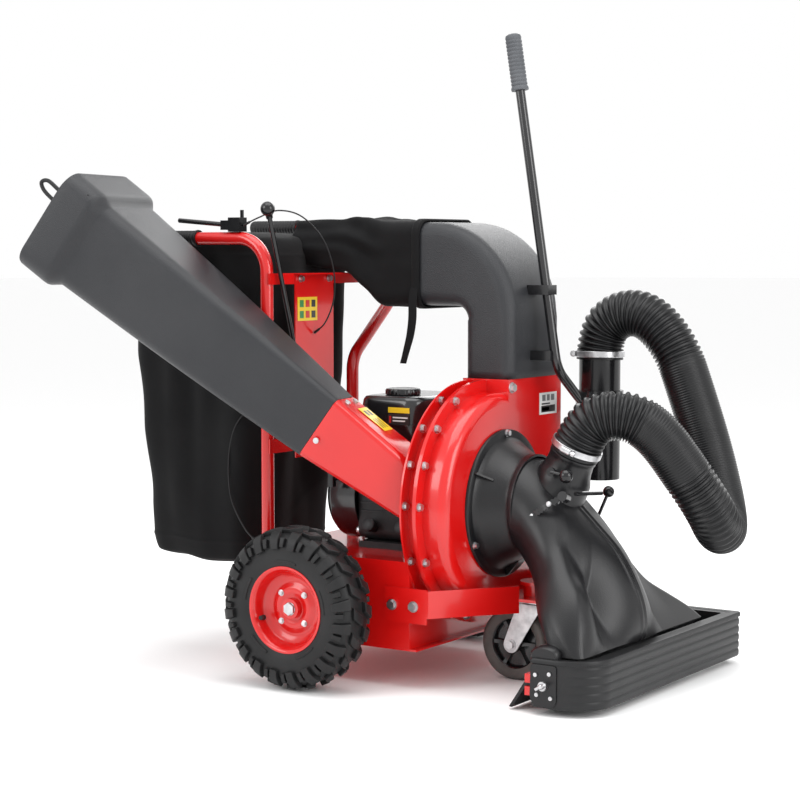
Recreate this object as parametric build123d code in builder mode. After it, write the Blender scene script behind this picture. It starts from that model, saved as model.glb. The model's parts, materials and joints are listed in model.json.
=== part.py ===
from build123d import *
import math
import os

os.makedirs("parts", exist_ok=True)

# Walk-behind leaf vacuum, blower and chipper.
# +X is forward, towards the ground nozzle, +Y is left and +Z is up.
# The origin is on the ground under the middle of the rear axle. Lengths are in millimetres.

# Rear wheels, 13 x 4.5 tyres on 6-inch rims
TYRE_RADIUS = 165.0
TYRE_HALF_WIDTH = 55.0
RIM_RADIUS = 80.0
HALF_TRACK = 325.0
SHAFT_RADIUS = 12.7
RUNNING_GAP = 0.05

# Front caster
CASTER_RADIUS = 75.0
CASTER_X = 323.0
SWIVEL_X = 365.0

# Chassis box
FRAME_REAR_X = -195.0
FRAME_FRONT_X = 196.0
FRAME_HALF_WIDTH = 214.0
PAN_Z = 78.0
DECK_Z = 257.0
SHEET = 4.0

# Fan housing, on the crankshaft's axis
FAN_Z = 361.0
DRUM_RADIUS = 225.0
FLANGE_RADIUS = 250.0
BOLT_CIRCLE_RADIUS = 238.0
HOUSING_SPLIT_X = 230.0
HOUSING_FRONT_X = 287.0
INLET_RADIUS = 100.0
OUTLET_RIGHT_Y = 19.0
OUTLET_LEFT_Y = 240.0
OUTLET_REAR_X = 177.0
OUTLET_TOP_Z = 613.0
BOLT_ANGLES = (26, 47, 67, 87, 115, 140, 165, 190, 215, 240, 265)

# Discharge elbow
ELBOW_FRONT_X = 290.0
ELBOW_END_X = -10.0
ELBOW_TOP_Z = 937.0
ELBOW_UNDER_Z = 762.0
ELBOW_LEFT_Y = 235.0
PLASTIC = 4.0

# Chipper hopper, along its own axis
HOPPER_JOINT = Vector(25, -256, 525)
HOPPER_MOUTH = Vector(-538, -379, 944)
HOPPER_LENGTH = (HOPPER_MOUTH - HOPPER_JOINT).length
CHUTE_WIDTH = 100.0
CHUTE_HEIGHT = 141.0
LIP_DEPTH = 100.0

# Hose and wander tube
HOSE_RADIUS = 50.0
HOSE_BORE = 46.0
STUB_RADIUS = 45.8
HOSE_ROUTE = [
    (452, 0, 474),
    (476, 0, 527),
    (518, 10, 568),
    (573, 33, 566),
    (614, 56, 518),
    (656, 82, 432),
    (697, 118, 352),
    (700, 170, 284),
    (668, 256, 284),
    (632, 300, 356),
    (604, 296, 470),
    (568, 291, 585),
    (534, 289, 677),
    (472, 284, 744),
    (408, 281, 747),
    (361, 278, 705),
    (361, 277, 645),
]
HOSE_START = Vector(HOSE_ROUTE[0])
HOSE_OUT = (Vector(HOSE_ROUTE[1]) - HOSE_START).normalized()
STUB_START = HOSE_START - HOSE_OUT * 116
STUB_END = HOSE_START + HOSE_OUT * 18
WANDER_X = 361.0
WANDER_Y = 277.0
WANDER_RADIUS = 44.0
WANDER_BOTTOM_Z = 390.0
ROD_RADIUS = 10.0
ROD_Y = 120.0

# Push handle
HANDLE_X = -170.0
HANDLE_RADIUS = 13.5
NEAR_Y = -196.0
FAR_LOW_Y = 115.0
FAR_HIGH_Y = 270.0
NEAR_RUN_Z = 903.0
FAR_RUN_Z = 930.0
CROSS_PLATE_Z = 830.0

# Nozzle skirt
SKIRT_BOTTOM_Z = 14.0
SKIRT_TOP_Z = 109.0

# Valves
VALVE_CENTRE = Vector(436, 0, 440)
GATE_CENTRE = Vector(423, 0, 294)
GATE_TILT = 21.5


def save(piece, name):
    """Label one finished piece and write it."""
    piece.label = name
    export_step(piece, f"parts/{name}.step")


def bar(start, end, radius, bore=0.0):
    """A round bar from one point to another, or a sleeve where it has a bore."""
    along = Vector(end) - Vector(start)
    with BuildPart() as made:
        with BuildSketch(Plane(origin=start, z_dir=along)):
            Circle(radius)
            if bore > 0:
                Circle(bore, mode=Mode.SUBTRACT)
        extrude(amount=along.length)
    return made.part


def block(low, high):
    """A box between two corners."""
    with BuildPart() as made:
        with BuildSketch(Plane.XY.offset(low[2])):
            with Locations(((low[0] + high[0]) / 2, (low[1] + high[1]) / 2)):
                Rectangle(high[0] - low[0], high[1] - low[1])
        extrude(amount=high[2] - low[2])
    return made.part


def rounded_block(low, high, radius):
    """A box between two corners with its upright edges rounded."""
    with BuildPart() as made:
        with BuildSketch(Plane.XY.offset(low[2])):
            with Locations(((low[0] + high[0]) / 2, (low[1] + high[1]) / 2)):
                RectangleRounded(high[0] - low[0], high[1] - low[1], radius)
        extrude(amount=high[2] - low[2])
    return made.part


def hex_bolt(place, out, radius=9.0):
    """A washer with a hexagonal head on it, standing out of a face."""
    with BuildPart() as made:
        with BuildSketch(Plane(origin=place, z_dir=out)):
            Circle(radius * 1.25)
        extrude(amount=2)
        with BuildSketch(Plane(origin=Vector(place) + Vector(out) * 2, z_dir=out)):
            RegularPolygon(radius, 6)
        extrude(amount=6)
    return made.part


def tangent_radii(points):
    """The radius of each corner's arc: 0.45 of its shorter run over the tangent of half its turn."""
    radii = []
    for before, here, after in zip(points, points[1:], points[2:]):
        run_in = Vector(here) - Vector(before)
        run_out = Vector(after) - Vector(here)
        half_turn = math.radians(run_in.get_angle(run_out) / 2)
        radii.append(0.45 * min(run_in.length, run_out.length) / math.tan(half_turn))
    return radii


def tube(points, radius, bore=0.0):
    """A tube along straight runs joined by tangent arcs."""
    start = Vector(points[0])
    with BuildPart() as made:
        with BuildLine():
            FilletPolyline(*points, radius=tangent_radii(points))
        with BuildSketch(Plane(origin=start, z_dir=Vector(points[1]) - start)):
            Circle(radius)
            if bore > 0:
                Circle(bore, mode=Mode.SUBTRACT)
        sweep()
    return made.part


def make_chassis():
    with BuildPart() as base_frame:
        add(block((FRAME_REAR_X, -FRAME_HALF_WIDTH, PAN_Z + SHEET), (FRAME_FRONT_X, FRAME_HALF_WIDTH, DECK_Z)))
        inner_half = FRAME_HALF_WIDTH - SHEET
        low = (FRAME_REAR_X + SHEET, -inner_half, PAN_Z + SHEET)
        high = (FRAME_FRONT_X - SHEET, inner_half, DECK_Z - SHEET)
        add(block(low, high), mode=Mode.SUBTRACT)
        low_side = (0, -FRAME_HALF_WIDTH - 1, TYRE_RADIUS)
        add(bar(low_side, (0, FRAME_HALF_WIDTH + 1, TYRE_RADIUS), 22), mode=Mode.SUBTRACT)
    save(base_frame.part, "base_frame")

    with BuildPart() as skid_pan:
        low = (FRAME_REAR_X, -FRAME_HALF_WIDTH, PAN_Z)
        add(block(low, (FRAME_FRONT_X + 16, FRAME_HALF_WIDTH, PAN_Z + SHEET)))
    save(skid_pan.part, "skid_pan")

    with BuildPart() as axle_bearings:
        for side in (-1, 1):
            inner = side * (FRAME_HALF_WIDTH - 14)
            face = side * FRAME_HALF_WIDTH
            bore = SHAFT_RADIUS + RUNNING_GAP
            add(bar((0, inner, TYRE_RADIUS), (0, face, TYRE_RADIUS), 22, bore))
            add(bar((0, face, TYRE_RADIUS), (0, face + side * 5, TYRE_RADIUS), 32, bore))
    save(axle_bearings.part, "axle_bearings")

    with BuildPart() as gearbox:
        add(block((-50, -62, 118), (50, 62, 214)))
        fillet(gearbox.edges().filter_by(Axis.Y), radius=18)
        add(block((-40, -45, 210), (40, 45, DECK_Z - SHEET)))
        through = SHAFT_RADIUS + RUNNING_GAP
        add(bar((0, -70, TYRE_RADIUS), (0, 70, TYRE_RADIUS), through), mode=Mode.SUBTRACT)
    save(gearbox.part, "gearbox")


def make_bumper():
    """The yoke that carries the caster: two bent flat bars welded to a plate, with a swivel tube."""
    bar_low = 149.0
    bar_high = 204.0
    plate_low = 172.0
    flat = FRAME_HALF_WIDTH + 2.5
    with BuildPart() as caster_yoke:
        for side in (-1, 1):
            with BuildSketch(Plane.XY.offset(bar_low)):
                with BuildLine():
                    Polyline((140, side * flat), (243, side * flat), (360, side * 62))
                trace(line_width=5)
            extrude(amount=bar_high - bar_low)
            with BuildSketch(Plane.XY.offset(136)):
                with Locations((190, side * flat)):
                    Rectangle(100, 5)
            extrude(amount=70)
        add(block((306, -64, plate_low), (418, 64, plate_low + 6)))
        add(bar((SWIVEL_X, 0, plate_low + 6), (SWIVEL_X, 0, 200), 26))
        add(bar((SWIVEL_X, 0, plate_low - 1), (SWIVEL_X, 0, 198), 18), mode=Mode.SUBTRACT)
        add(bar((SWIVEL_X, 0, 200), (SWIVEL_X, 0, 207), 33))
    save(caster_yoke.part, "caster_yoke")


def wheel_plane(side):
    """Local x runs out from the wheel's axis and local y runs along the axle, away from the machine."""
    return Plane(origin=(0, side * HALF_TRACK, TYRE_RADIUS), x_dir=(0, 0, 1), z_dir=(-side, 0, 0))


def make_rear_wheel(side, name):
    axis = Axis((0, side * HALF_TRACK, TYRE_RADIUS), (0, 1, 0))
    with BuildPart() as tyre:
        with BuildSketch(wheel_plane(side)):
            with BuildLine():
                Polyline(
                    (RIM_RADIUS, -40),
                    (90, -40),
                    (118, -TYRE_HALF_WIDTH),
                    (146, -TYRE_HALF_WIDTH),
                    (TYRE_RADIUS, -38),
                    (TYRE_RADIUS, 38),
                    (146, TYRE_HALF_WIDTH),
                    (118, TYRE_HALF_WIDTH),
                    (90, 40),
                    (RIM_RADIUS, 40),
                    close=True,
                )
            make_face()
            with BuildLine():
                Polyline((RIM_RADIUS, -30), (116, -45), (142, -43), (142, 43), (116, 45), (RIM_RADIUS, 30), close=True)
            make_face(mode=Mode.SUBTRACT)
        revolve(axis=axis)
    save(tyre.part, f"tyre_{name}")

    with BuildPart() as rim:
        with BuildSketch(wheel_plane(side)):
            with Locations((78, 0)):
                Rectangle(4, 86)
            with Locations((82, 41.5), (82, -41.5)):
                Rectangle(12, 3)
            with BuildLine():
                Polyline((77, 12), (60, 4), (38, 0), (19, 6), (19, 10), (38, 4), (60, 8), (77, 16), close=True)
            make_face()
            with Locations(((SHAFT_RADIUS + 20) / 2, -8)):
                Rectangle(20 - SHAFT_RADIUS, 60)
        revolve(axis=axis)
    save(rim.part, f"rim_{name}")

    hub_end = HALF_TRACK + 22
    with BuildPart() as half_shaft:
        add(bar((0, side * 2, TYRE_RADIUS), (0, side * hub_end, TYRE_RADIUS), SHAFT_RADIUS))
        add(hex_bolt((0, side * hub_end, TYRE_RADIUS), (0, side, 0), 13))
    save(half_shaft.part, f"half_shaft_{name}")


def make_caster():
    top = 172.0
    with BuildPart() as caster_plate:
        add(block((SWIVEL_X - 48, -42, top - 6), (SWIVEL_X + 48, 42, top)))
        add(bar((SWIVEL_X, 0, top - 9), (SWIVEL_X, 0, top - 6), 26))
        bore = 8 + RUNNING_GAP
        add(bar((SWIVEL_X, 0, top - 10), (SWIVEL_X, 0, top + 1), bore), mode=Mode.SUBTRACT)
    save(caster_plate.part, "caster_plate")

    with BuildPart() as caster_fork:
        for side in (-1, 1):
            with BuildSketch(Plane.XZ.offset(side * 28 + 1.5)):
                with Locations((CASTER_X, CASTER_RADIUS)):
                    Circle(17)
                with Locations((SWIVEL_X, 158)):
                    Rectangle(54, 6)
                make_hull()
            extrude(amount=-3)
        add(block((SWIVEL_X - 27, -29.5, 156), (SWIVEL_X + 27, 29.5, 161)))
        add(bar((SWIVEL_X, 0, 161), (SWIVEL_X, 0, 176), 8))
        add(bar((SWIVEL_X, 0, 174), (SWIVEL_X, 0, 186), 14))
        low = (CASTER_X, -40, CASTER_RADIUS)
        add(bar(low, (CASTER_X, 40, CASTER_RADIUS), 6), mode=Mode.SUBTRACT)
    save(caster_fork.part, "caster_fork")

    with BuildPart() as caster_wheel:
        plane = Plane(origin=(CASTER_X, 0, CASTER_RADIUS), x_dir=(0, 0, 1), z_dir=(-1, 0, 0))
        with BuildSketch(plane):
            with BuildLine():
                Polyline((52, -16), (52, 16), (66, 21), (CASTER_RADIUS, 15), (CASTER_RADIUS, -15), (66, -21), close=True)
            make_face()
            with Locations((35, 0)):
                Rectangle(38, 8)
            with Locations(((6 + RUNNING_GAP + 18) / 2, 0)):
                Rectangle(12 - RUNNING_GAP, 46)
        revolve(axis=Axis((CASTER_X, 0, CASTER_RADIUS), (0, 1, 0)))
    save(caster_wheel.part, "caster_wheel")

    with BuildPart() as caster_axle:
        add(bar((CASTER_X, -29.5, CASTER_RADIUS), (CASTER_X, 29.5, CASTER_RADIUS), 6))
        for side in (-1, 1):
            add(hex_bolt((CASTER_X, side * 29.5, CASTER_RADIUS), (0, side, 0), 9))
    save(caster_axle.part, "caster_axle")


def scroll(drum, right, left, depth, start_x):
    """A round drum with its outlet box rising on the left."""
    with BuildPart() as made:
        with BuildSketch(Plane(origin=(start_x, 0, FAN_Z), x_dir=(0, 1, 0), z_dir=(1, 0, 0))):
            Circle(drum)
            height = OUTLET_TOP_Z - FAN_Z
            with Locations(((right + left) / 2, height / 2)):
                Rectangle(left - right, height)
        extrude(amount=depth)
    return made.part


def flange(radius, start_x, depth):
    """The bolted edge that follows the scroll."""
    with BuildPart() as made:
        with BuildSketch(Plane(origin=(start_x, 0, FAN_Z), x_dir=(0, 1, 0), z_dir=(1, 0, 0))):
            Circle(radius)
            with Locations(((OUTLET_RIGHT_Y + OUTLET_LEFT_Y) / 2, 115)):
                Rectangle(OUTLET_LEFT_Y - OUTLET_RIGHT_Y + 26, 230)
        extrude(amount=depth)
    return made.part


def make_housing():
    inner_drum = DRUM_RADIUS - SHEET
    right = OUTLET_RIGHT_Y + SHEET
    left = OUTLET_LEFT_Y - SHEET
    back = FRAME_FRONT_X
    with BuildPart() as housing_rear:
        add(flange(FLANGE_RADIUS, back, SHEET))
        add(scroll(DRUM_RADIUS, OUTLET_RIGHT_Y, OUTLET_LEFT_Y, HOUSING_SPLIT_X - back, back))
        add(flange(FLANGE_RADIUS, HOUSING_SPLIT_X - SHEET, SHEET))
        add(block((OUTLET_REAR_X, OUTLET_RIGHT_Y, 500), (back, OUTLET_LEFT_Y, OUTLET_TOP_Z)))
        inside = scroll(inner_drum, right, left, HOUSING_SPLIT_X - back, back + SHEET)
        add(inside, mode=Mode.SUBTRACT)
        low = (OUTLET_REAR_X + SHEET, right, 504)
        add(block(low, (back + 10, left, OUTLET_TOP_Z)), mode=Mode.SUBTRACT)
        add(bar((back - 5, 0, FAN_Z), (back + 10, 0, FAN_Z), 16), mode=Mode.SUBTRACT)
        add(block((back - 5, -202, 328), (back + 10, -108, 447)), mode=Mode.SUBTRACT)
    save(housing_rear.part, "housing_rear")

    depth = HOUSING_FRONT_X - HOUSING_SPLIT_X
    with BuildPart() as housing_front:
        add(bar((HOUSING_SPLIT_X, 0, FAN_Z), (HOUSING_FRONT_X, 0, FAN_Z), DRUM_RADIUS))
        fillet(housing_front.edges().filter_by(GeomType.CIRCLE).sort_by(Axis.X)[-1], radius=22)
        low = (HOUSING_SPLIT_X, OUTLET_RIGHT_Y, FAN_Z)
        add(block(low, (HOUSING_FRONT_X, OUTLET_LEFT_Y, OUTLET_TOP_Z)))
        add(flange(FLANGE_RADIUS, HOUSING_SPLIT_X, SHEET))
        with BuildPart(mode=Mode.PRIVATE) as hollow:
            add(bar((HOUSING_SPLIT_X, 0, FAN_Z), (HOUSING_FRONT_X - SHEET, 0, FAN_Z), inner_drum))
            fillet(hollow.edges().filter_by(GeomType.CIRCLE).sort_by(Axis.X)[-1], radius=18)
            low = (HOUSING_SPLIT_X, right, FAN_Z)
            add(block(low, (HOUSING_SPLIT_X + depth - SHEET, left, OUTLET_TOP_Z)))
        add(hollow.part, mode=Mode.SUBTRACT)
        add(bar((270, 0, FAN_Z), (HOUSING_FRONT_X + 1, 0, FAN_Z), INLET_RADIUS), mode=Mode.SUBTRACT)
    save(housing_front.part, "housing_front")


def fan_point(x, degrees, radius):
    """A point round the fan's axis; the angle runs from the top towards the right-hand side."""
    turn = math.radians(degrees)
    return (x, -radius * math.sin(turn), FAN_Z + radius * math.cos(turn))


def make_rotor():
    blades = 6
    with BuildPart() as impeller:
        add(bar((206, 0, FAN_Z), (211, 0, FAN_Z), 195))
        add(bar((203, 0, FAN_Z), (250, 0, FAN_Z), 32))
        with BuildSketch(Plane(origin=(211, 0, FAN_Z), x_dir=(0, 1, 0), z_dir=(1, 0, 0))):
            with PolarLocations(112, blades):
                Rectangle(166, 5)
        extrude(amount=52)
        add(bar((200, 0, FAN_Z), (270, 0, FAN_Z), SHAFT_RADIUS), mode=Mode.SUBTRACT)
    save(impeller.part, "impeller")

    with BuildPart() as crankshaft:
        add(bar((-62, 0, FAN_Z), (250, 0, FAN_Z), SHAFT_RADIUS))
        add(hex_bolt((250, 0, FAN_Z), (1, 0, 0), 12))
    save(crankshaft.part, "crankshaft")

    with BuildPart() as flywheel:
        add(bar((-60, 0, FAN_Z), (-36, 0, FAN_Z), 84, SHAFT_RADIUS))
    save(flywheel.part, "flywheel")


def make_engine():
    with BuildPart() as engine_block:
        add(block((-18, -82, DECK_Z + 14), (128, 82, 440)))
        fillet(engine_block.edges().filter_by(Axis.X), radius=24)
        add(block((-10, -92, DECK_Z), (120, 92, DECK_Z + 14)))
        add(block((0, 60, 305), (112, 164, 428)))
        add(block((18, -50, 430), (36, 50, 470)))
        add(block((86, -50, 430), (104, 50, 470)))
        add(bar((128, 0, FAN_Z), (150, 0, FAN_Z), 42))
        bore = SHAFT_RADIUS + RUNNING_GAP
        add(bar((-30, 0, FAN_Z), (151, 0, FAN_Z), bore), mode=Mode.SUBTRACT)
    save(engine_block.part, "engine_block")

    with BuildPart() as recoil_cover:
        add(bar((-100, 0, FAN_Z), (-18, 0, FAN_Z), 98))
        fillet(recoil_cover.edges().filter_by(GeomType.CIRCLE).sort_by(Axis.X)[0], radius=20)
        add(bar((-92, 0, FAN_Z), (-18, 0, FAN_Z), 92), mode=Mode.SUBTRACT)
    save(recoil_cover.part, "recoil_cover")

    with BuildPart() as starter_grip:
        add(bar((-60, -92.3, 402), (-60, -112, 402), 7))
        add(block((-68, -128, 384), (-52, -112, 420)))
        fillet(starter_grip.edges().filter_by(Axis.Z), radius=5)
    save(starter_grip.part, "starter_grip")

    with BuildPart() as fuel_tank:
        add(rounded_block((0, -118, 470), (152, 98, 578), 36))
        fillet(fuel_tank.edges().group_by(Axis.Z)[-1], radius=12)
        fillet(fuel_tank.edges().group_by(Axis.Z)[0], radius=12)
        add(rounded_block((4, -114, 474), (148, 94, 574), 32), mode=Mode.SUBTRACT)
    save(fuel_tank.part, "fuel_tank")

    with BuildPart() as fuel_cap:
        add(bar((73, -50, 578.3), (73, -50, 592), 37))
        fillet(fuel_cap.edges().sort_by(Axis.Z)[-1], radius=4)
    save(fuel_cap.part, "fuel_cap")

    with BuildPart() as air_cleaner:
        add(rounded_block((14, 104, 432), (146, 190, 566), 20))
        add(rounded_block((18, 108, 436), (142, 186, 562), 16), mode=Mode.SUBTRACT)
        add(bar((80, 147, 566), (80, 147, 584), 11))
    save(air_cleaner.part, "air_cleaner")

    with BuildPart() as muffler:
        add(block((8, 164.2, 316), (106, 220, 414)))
        fillet(muffler.edges().filter_by(Axis.X), radius=16)
        add(block((12, 171, 323), (102, 213, 407)), mode=Mode.SUBTRACT)
    save(muffler.part, "muffler")


def elbow_solid(skin, overrun, rounding):
    """The elbow's outer form, or its bore where skin takes the wall off and overrun opens the ends."""
    right = OUTLET_RIGHT_Y + skin
    left = ELBOW_LEFT_Y - skin
    with BuildPart() as made:
        with BuildSketch(Plane.XZ.offset(-right)) as side_view:
            with BuildLine():
                Polyline(
                    (OUTLET_REAR_X + skin, OUTLET_TOP_Z - overrun),
                    (ELBOW_FRONT_X - skin, OUTLET_TOP_Z - overrun),
                    (ELBOW_FRONT_X - skin, ELBOW_TOP_Z - skin),
                    (ELBOW_END_X - overrun, ELBOW_TOP_Z - skin),
                    (ELBOW_END_X - overrun, ELBOW_UNDER_Z + skin),
                    (OUTLET_REAR_X + skin, ELBOW_UNDER_Z + skin),
                    close=True,
                )
            make_face()
            outer = side_view.vertices().sort_by_distance((ELBOW_FRONT_X, ELBOW_TOP_Z, 0))[0]
            fillet(outer, radius=195 - skin)
            inner = side_view.vertices().sort_by_distance((OUTLET_REAR_X, ELBOW_UNDER_Z, 0))[0]
            fillet(inner, radius=30 + skin)
        extrude(amount=-(left - right))
        sides = made.faces().sort_by(Axis.Y)
        rims = sides[0].edges() + sides[-1].edges()
        long_edges = [e for e in rims if e.center().Z > OUTLET_TOP_Z + 1 and e.center().X > ELBOW_END_X + 1]
        fillet(long_edges, radius=rounding)
    return made.part


def make_elbow():
    with BuildPart() as elbow:
        add(elbow_solid(0, 0, 26))
        add(elbow_solid(PLASTIC, 5, 22), mode=Mode.SUBTRACT)
    save(elbow.part, "elbow")


def hopper_plane(distance):
    """A plane across the hopper's axis; local x is outwards to the right and local y is up."""
    along = (HOPPER_MOUTH - HOPPER_JOINT).normalized()
    across = Vector(-along.Y, along.X, 0).normalized()
    return Plane(origin=HOPPER_JOINT + along * distance, x_dir=across, z_dir=along)


def hopper_loft(skin):
    """The tapering body and its stepped lip."""
    body_end = HOPPER_LENGTH - LIP_DEPTH
    with BuildPart() as made:
        with BuildSketch(hopper_plane(0)):
            RectangleRounded(CHUTE_WIDTH - 2 * skin, CHUTE_HEIGHT - 2 * skin, 14 - skin)
        with BuildSketch(hopper_plane(body_end)):
            RectangleRounded(232 - 2 * skin, 196 - 2 * skin, 34 - skin)
        loft(ruled=True)
        with BuildSketch(hopper_plane(body_end)):
            RectangleRounded(232 - 2 * skin, 196 - 2 * skin, 34 - skin)
        with BuildSketch(hopper_plane(body_end + 22)):
            RectangleRounded(270 - 2 * skin, 228 - 2 * skin, 40 - skin)
        loft(ruled=True)
        with BuildSketch(hopper_plane(body_end + 22)):
            RectangleRounded(270 - 2 * skin, 228 - 2 * skin, 40 - skin)
        extrude(amount=LIP_DEPTH - 22)
    return made.part


def chute_loft(skin):
    """The sheet-metal chute from the housing's back plate to the hopper."""
    foot = Plane(origin=(FRAME_FRONT_X, -155, 387.5), x_dir=(0, -1, 0), z_dir=(-1, 0, 0))
    with BuildPart() as made:
        with BuildSketch(foot):
            RectangleRounded(100 - 2 * skin, 125 - 2 * skin, 14 - skin)
        with BuildSketch(hopper_plane(0)):
            RectangleRounded(CHUTE_WIDTH - 2 * skin, CHUTE_HEIGHT - 2 * skin, 14 - skin)
        loft(ruled=True)
    return made.part


def make_chipper():
    with BuildPart() as hopper:
        add(hopper_loft(0))
        add(hopper_loft(PLASTIC), mode=Mode.SUBTRACT)
    save(hopper.part, "hopper")

    with BuildPart() as chute_base:
        add(chute_loft(0))
        add(chute_loft(3), mode=Mode.SUBTRACT)
    save(chute_base.part, "chute_base")


def duct_plane(x, z, tilt):
    """A plane across the nozzle duct, where tilt is how far the duct points down."""
    turn = math.radians(tilt)
    return Plane(origin=(x, 0, z), x_dir=(0, 1, 0), z_dir=(math.cos(turn), 0, -math.sin(turn)))


def duct_loft(skin):
    """The bent duct and its wings, from the round inlet to the wide foot."""
    with BuildPart() as made:
        with BuildSketch(duct_plane(355, FAN_Z, 0)):
            RectangleRounded(206 - 2 * skin, 206 - 2 * skin, 102.9 - skin)
        with BuildSketch(duct_plane(GATE_CENTRE.X, GATE_CENTRE.Z, GATE_TILT)):
            RectangleRounded(214 - 2 * skin, 130 - 2 * skin, 60 - skin)
        with BuildSketch(duct_plane(482, 230, 43)):
            with Locations((4, 0)):
                RectangleRounded(330 - 2 * skin, 110 - 2 * skin, 50 - skin)
        with BuildSketch(duct_plane(524, 160, 60)):
            with Locations((20, 0)):
                RectangleRounded(470 - 2 * skin, 92 - 2 * skin, 30 - skin)
        with BuildSketch(duct_plane(565, SKIRT_TOP_Z, 90)):
            with Locations((33, 0)):
                RectangleRounded(548 - 2 * skin, 82 - 2 * skin, 16 - skin)
        loft(ruled=True)
    return made.part


def skirt_outline(inset):
    """The skirt seen from above, with a large round front corner on the right."""
    with BuildSketch() as made:
        with BuildLine():
            Polyline(
                (500 + inset, -265 + inset),
                (637 - inset, -265 + inset),
                (637 - inset, 410 - inset),
                (500 + inset, 410 - inset),
                close=True,
            )
        make_face()
        corner = made.vertices().sort_by_distance((637, -265, 0))[0]
        fillet(corner, radius=78 - inset)
    return made.sketch


def make_nozzle():
    with BuildPart() as inlet_cone:
        add(bar((HOUSING_FRONT_X, 0, FAN_Z), (294, 0, FAN_Z), 152))
        with BuildSketch(Plane(origin=(294, 0, FAN_Z), z_dir=(1, 0, 0))):
            Circle(136)
        with BuildSketch(Plane(origin=(355, 0, FAN_Z), z_dir=(1, 0, 0))):
            Circle(103)
        loft()
        with BuildPart(mode=Mode.PRIVATE) as throat:
            with BuildSketch(Plane(origin=(HOUSING_FRONT_X, 0, FAN_Z), z_dir=(1, 0, 0))):
                Circle(131)
            with BuildSketch(Plane(origin=(355, 0, FAN_Z), z_dir=(1, 0, 0))):
                Circle(99)
            loft()
        add(throat.part, mode=Mode.SUBTRACT)
    save(inlet_cone.part, "inlet_cone")

    stub_along = (STUB_END - STUB_START).normalized()
    with BuildPart() as nozzle_duct:
        add(duct_loft(0))
        add(duct_loft(PLASTIC), mode=Mode.SUBTRACT)
        add(bar(STUB_START, STUB_END, 42), mode=Mode.SUBTRACT)
        spindle = GATE_CENTRE - Vector(0, 150, 0)
        add(bar(spindle, GATE_CENTRE + Vector(0, 150, 0), 4 + RUNNING_GAP), mode=Mode.SUBTRACT)
    save(nozzle_duct.part, "nozzle_duct")

    with BuildPart() as hose_port:
        add(bar(STUB_START, STUB_END, STUB_RADIUS))
        add(bar(STUB_START, STUB_START + stub_along * 62, 58))
        add(duct_loft(0), mode=Mode.SUBTRACT)
        add(bar(STUB_START, STUB_END + stub_along, 42), mode=Mode.SUBTRACT)
        low = VALVE_CENTRE - Vector(0, 60, 0)
        add(bar(low, VALVE_CENTRE + Vector(0, 60, 0), 3 + RUNNING_GAP), mode=Mode.SUBTRACT)
        inlet_side = bar((290, 0, FAN_Z), (355, 0, FAN_Z), 137)
        add(inlet_side, mode=Mode.SUBTRACT)
    save(hose_port.part.solids().sort_by(SortBy.VOLUME)[-1], "hose_port")

    with BuildPart() as skirt:
        with BuildSketch(Plane.XY.offset(SKIRT_BOTTOM_Z)):
            add(skirt_outline(0))
            add(skirt_outline(33), mode=Mode.SUBTRACT)
        extrude(amount=SKIRT_TOP_Z - SKIRT_BOTTOM_Z)
    save(skirt.part, "skirt")

    with BuildPart() as rear_rails:
        for low_z in (34, 58):
            add(block((486, -256, low_z), (500, 300, low_z + 17)))
    save(rear_rails.part, "rear_rails")

    # The rubber flap is in two lengths, with a gap where the caster swings round.
    with BuildPart() as rear_flap:
        for right, left in ((-250, -100), (100, 295)):
            with BuildSketch(Plane.XZ.offset(-right)):
                with BuildLine():
                    Polyline((500, 51.2), (500, 57.8), (482, 57.8), (448, 6), (454, 5), (486, 51.2), close=True)
                make_face()
            extrude(amount=right - left)
    save(rear_flap.part, "rear_flap")


def make_valves():
    along = (STUB_END - STUB_START).normalized()
    with BuildPart() as hose_valve:
        add(bar(VALVE_CENTRE - along * 1.25, VALVE_CENTRE + along * 1.25, 41))
        add(bar(VALVE_CENTRE - Vector(0, 64, 0), VALVE_CENTRE + Vector(0, 50, 0), 3))
    save(hose_valve.part, "hose_valve")

    knob = VALVE_CENTRE + Vector(35, -70, -6)
    with BuildPart() as selector_lever:
        pivot = VALVE_CENTRE - Vector(0, 64, 0)
        add(bar(pivot, pivot - Vector(0, 6, 0), 9))
        add(bar(pivot - Vector(0, 4.6, 0), knob + Vector(0, 3, 0), 3.5))
        with Locations(knob):
            Sphere(14)
    save(selector_lever.part, "selector_lever")

    with BuildPart() as nozzle_gate:
        tilted = duct_plane(GATE_CENTRE.X, GATE_CENTRE.Z, GATE_TILT + 90)
        with BuildSketch(tilted.offset(-1.25)):
            RectangleRounded(160, 84, 38)
        extrude(amount=2.5)
        add(bar(GATE_CENTRE - Vector(0, 116, 0), GATE_CENTRE + Vector(0, 122, 0), 4))
    save(nozzle_gate.part, "nozzle_gate")

    with BuildPart() as gate_lever:
        pivot = GATE_CENTRE + Vector(0, 122, 0)
        knob = GATE_CENTRE + Vector(36, 134, 88)
        add(bar(pivot, pivot + Vector(0, 7, 0), 10))
        add(bar(pivot + Vector(0, 4, 0), knob, 3.5))
        with Locations(knob):
            Sphere(12)
    save(gate_lever.part, "gate_lever")


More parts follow.
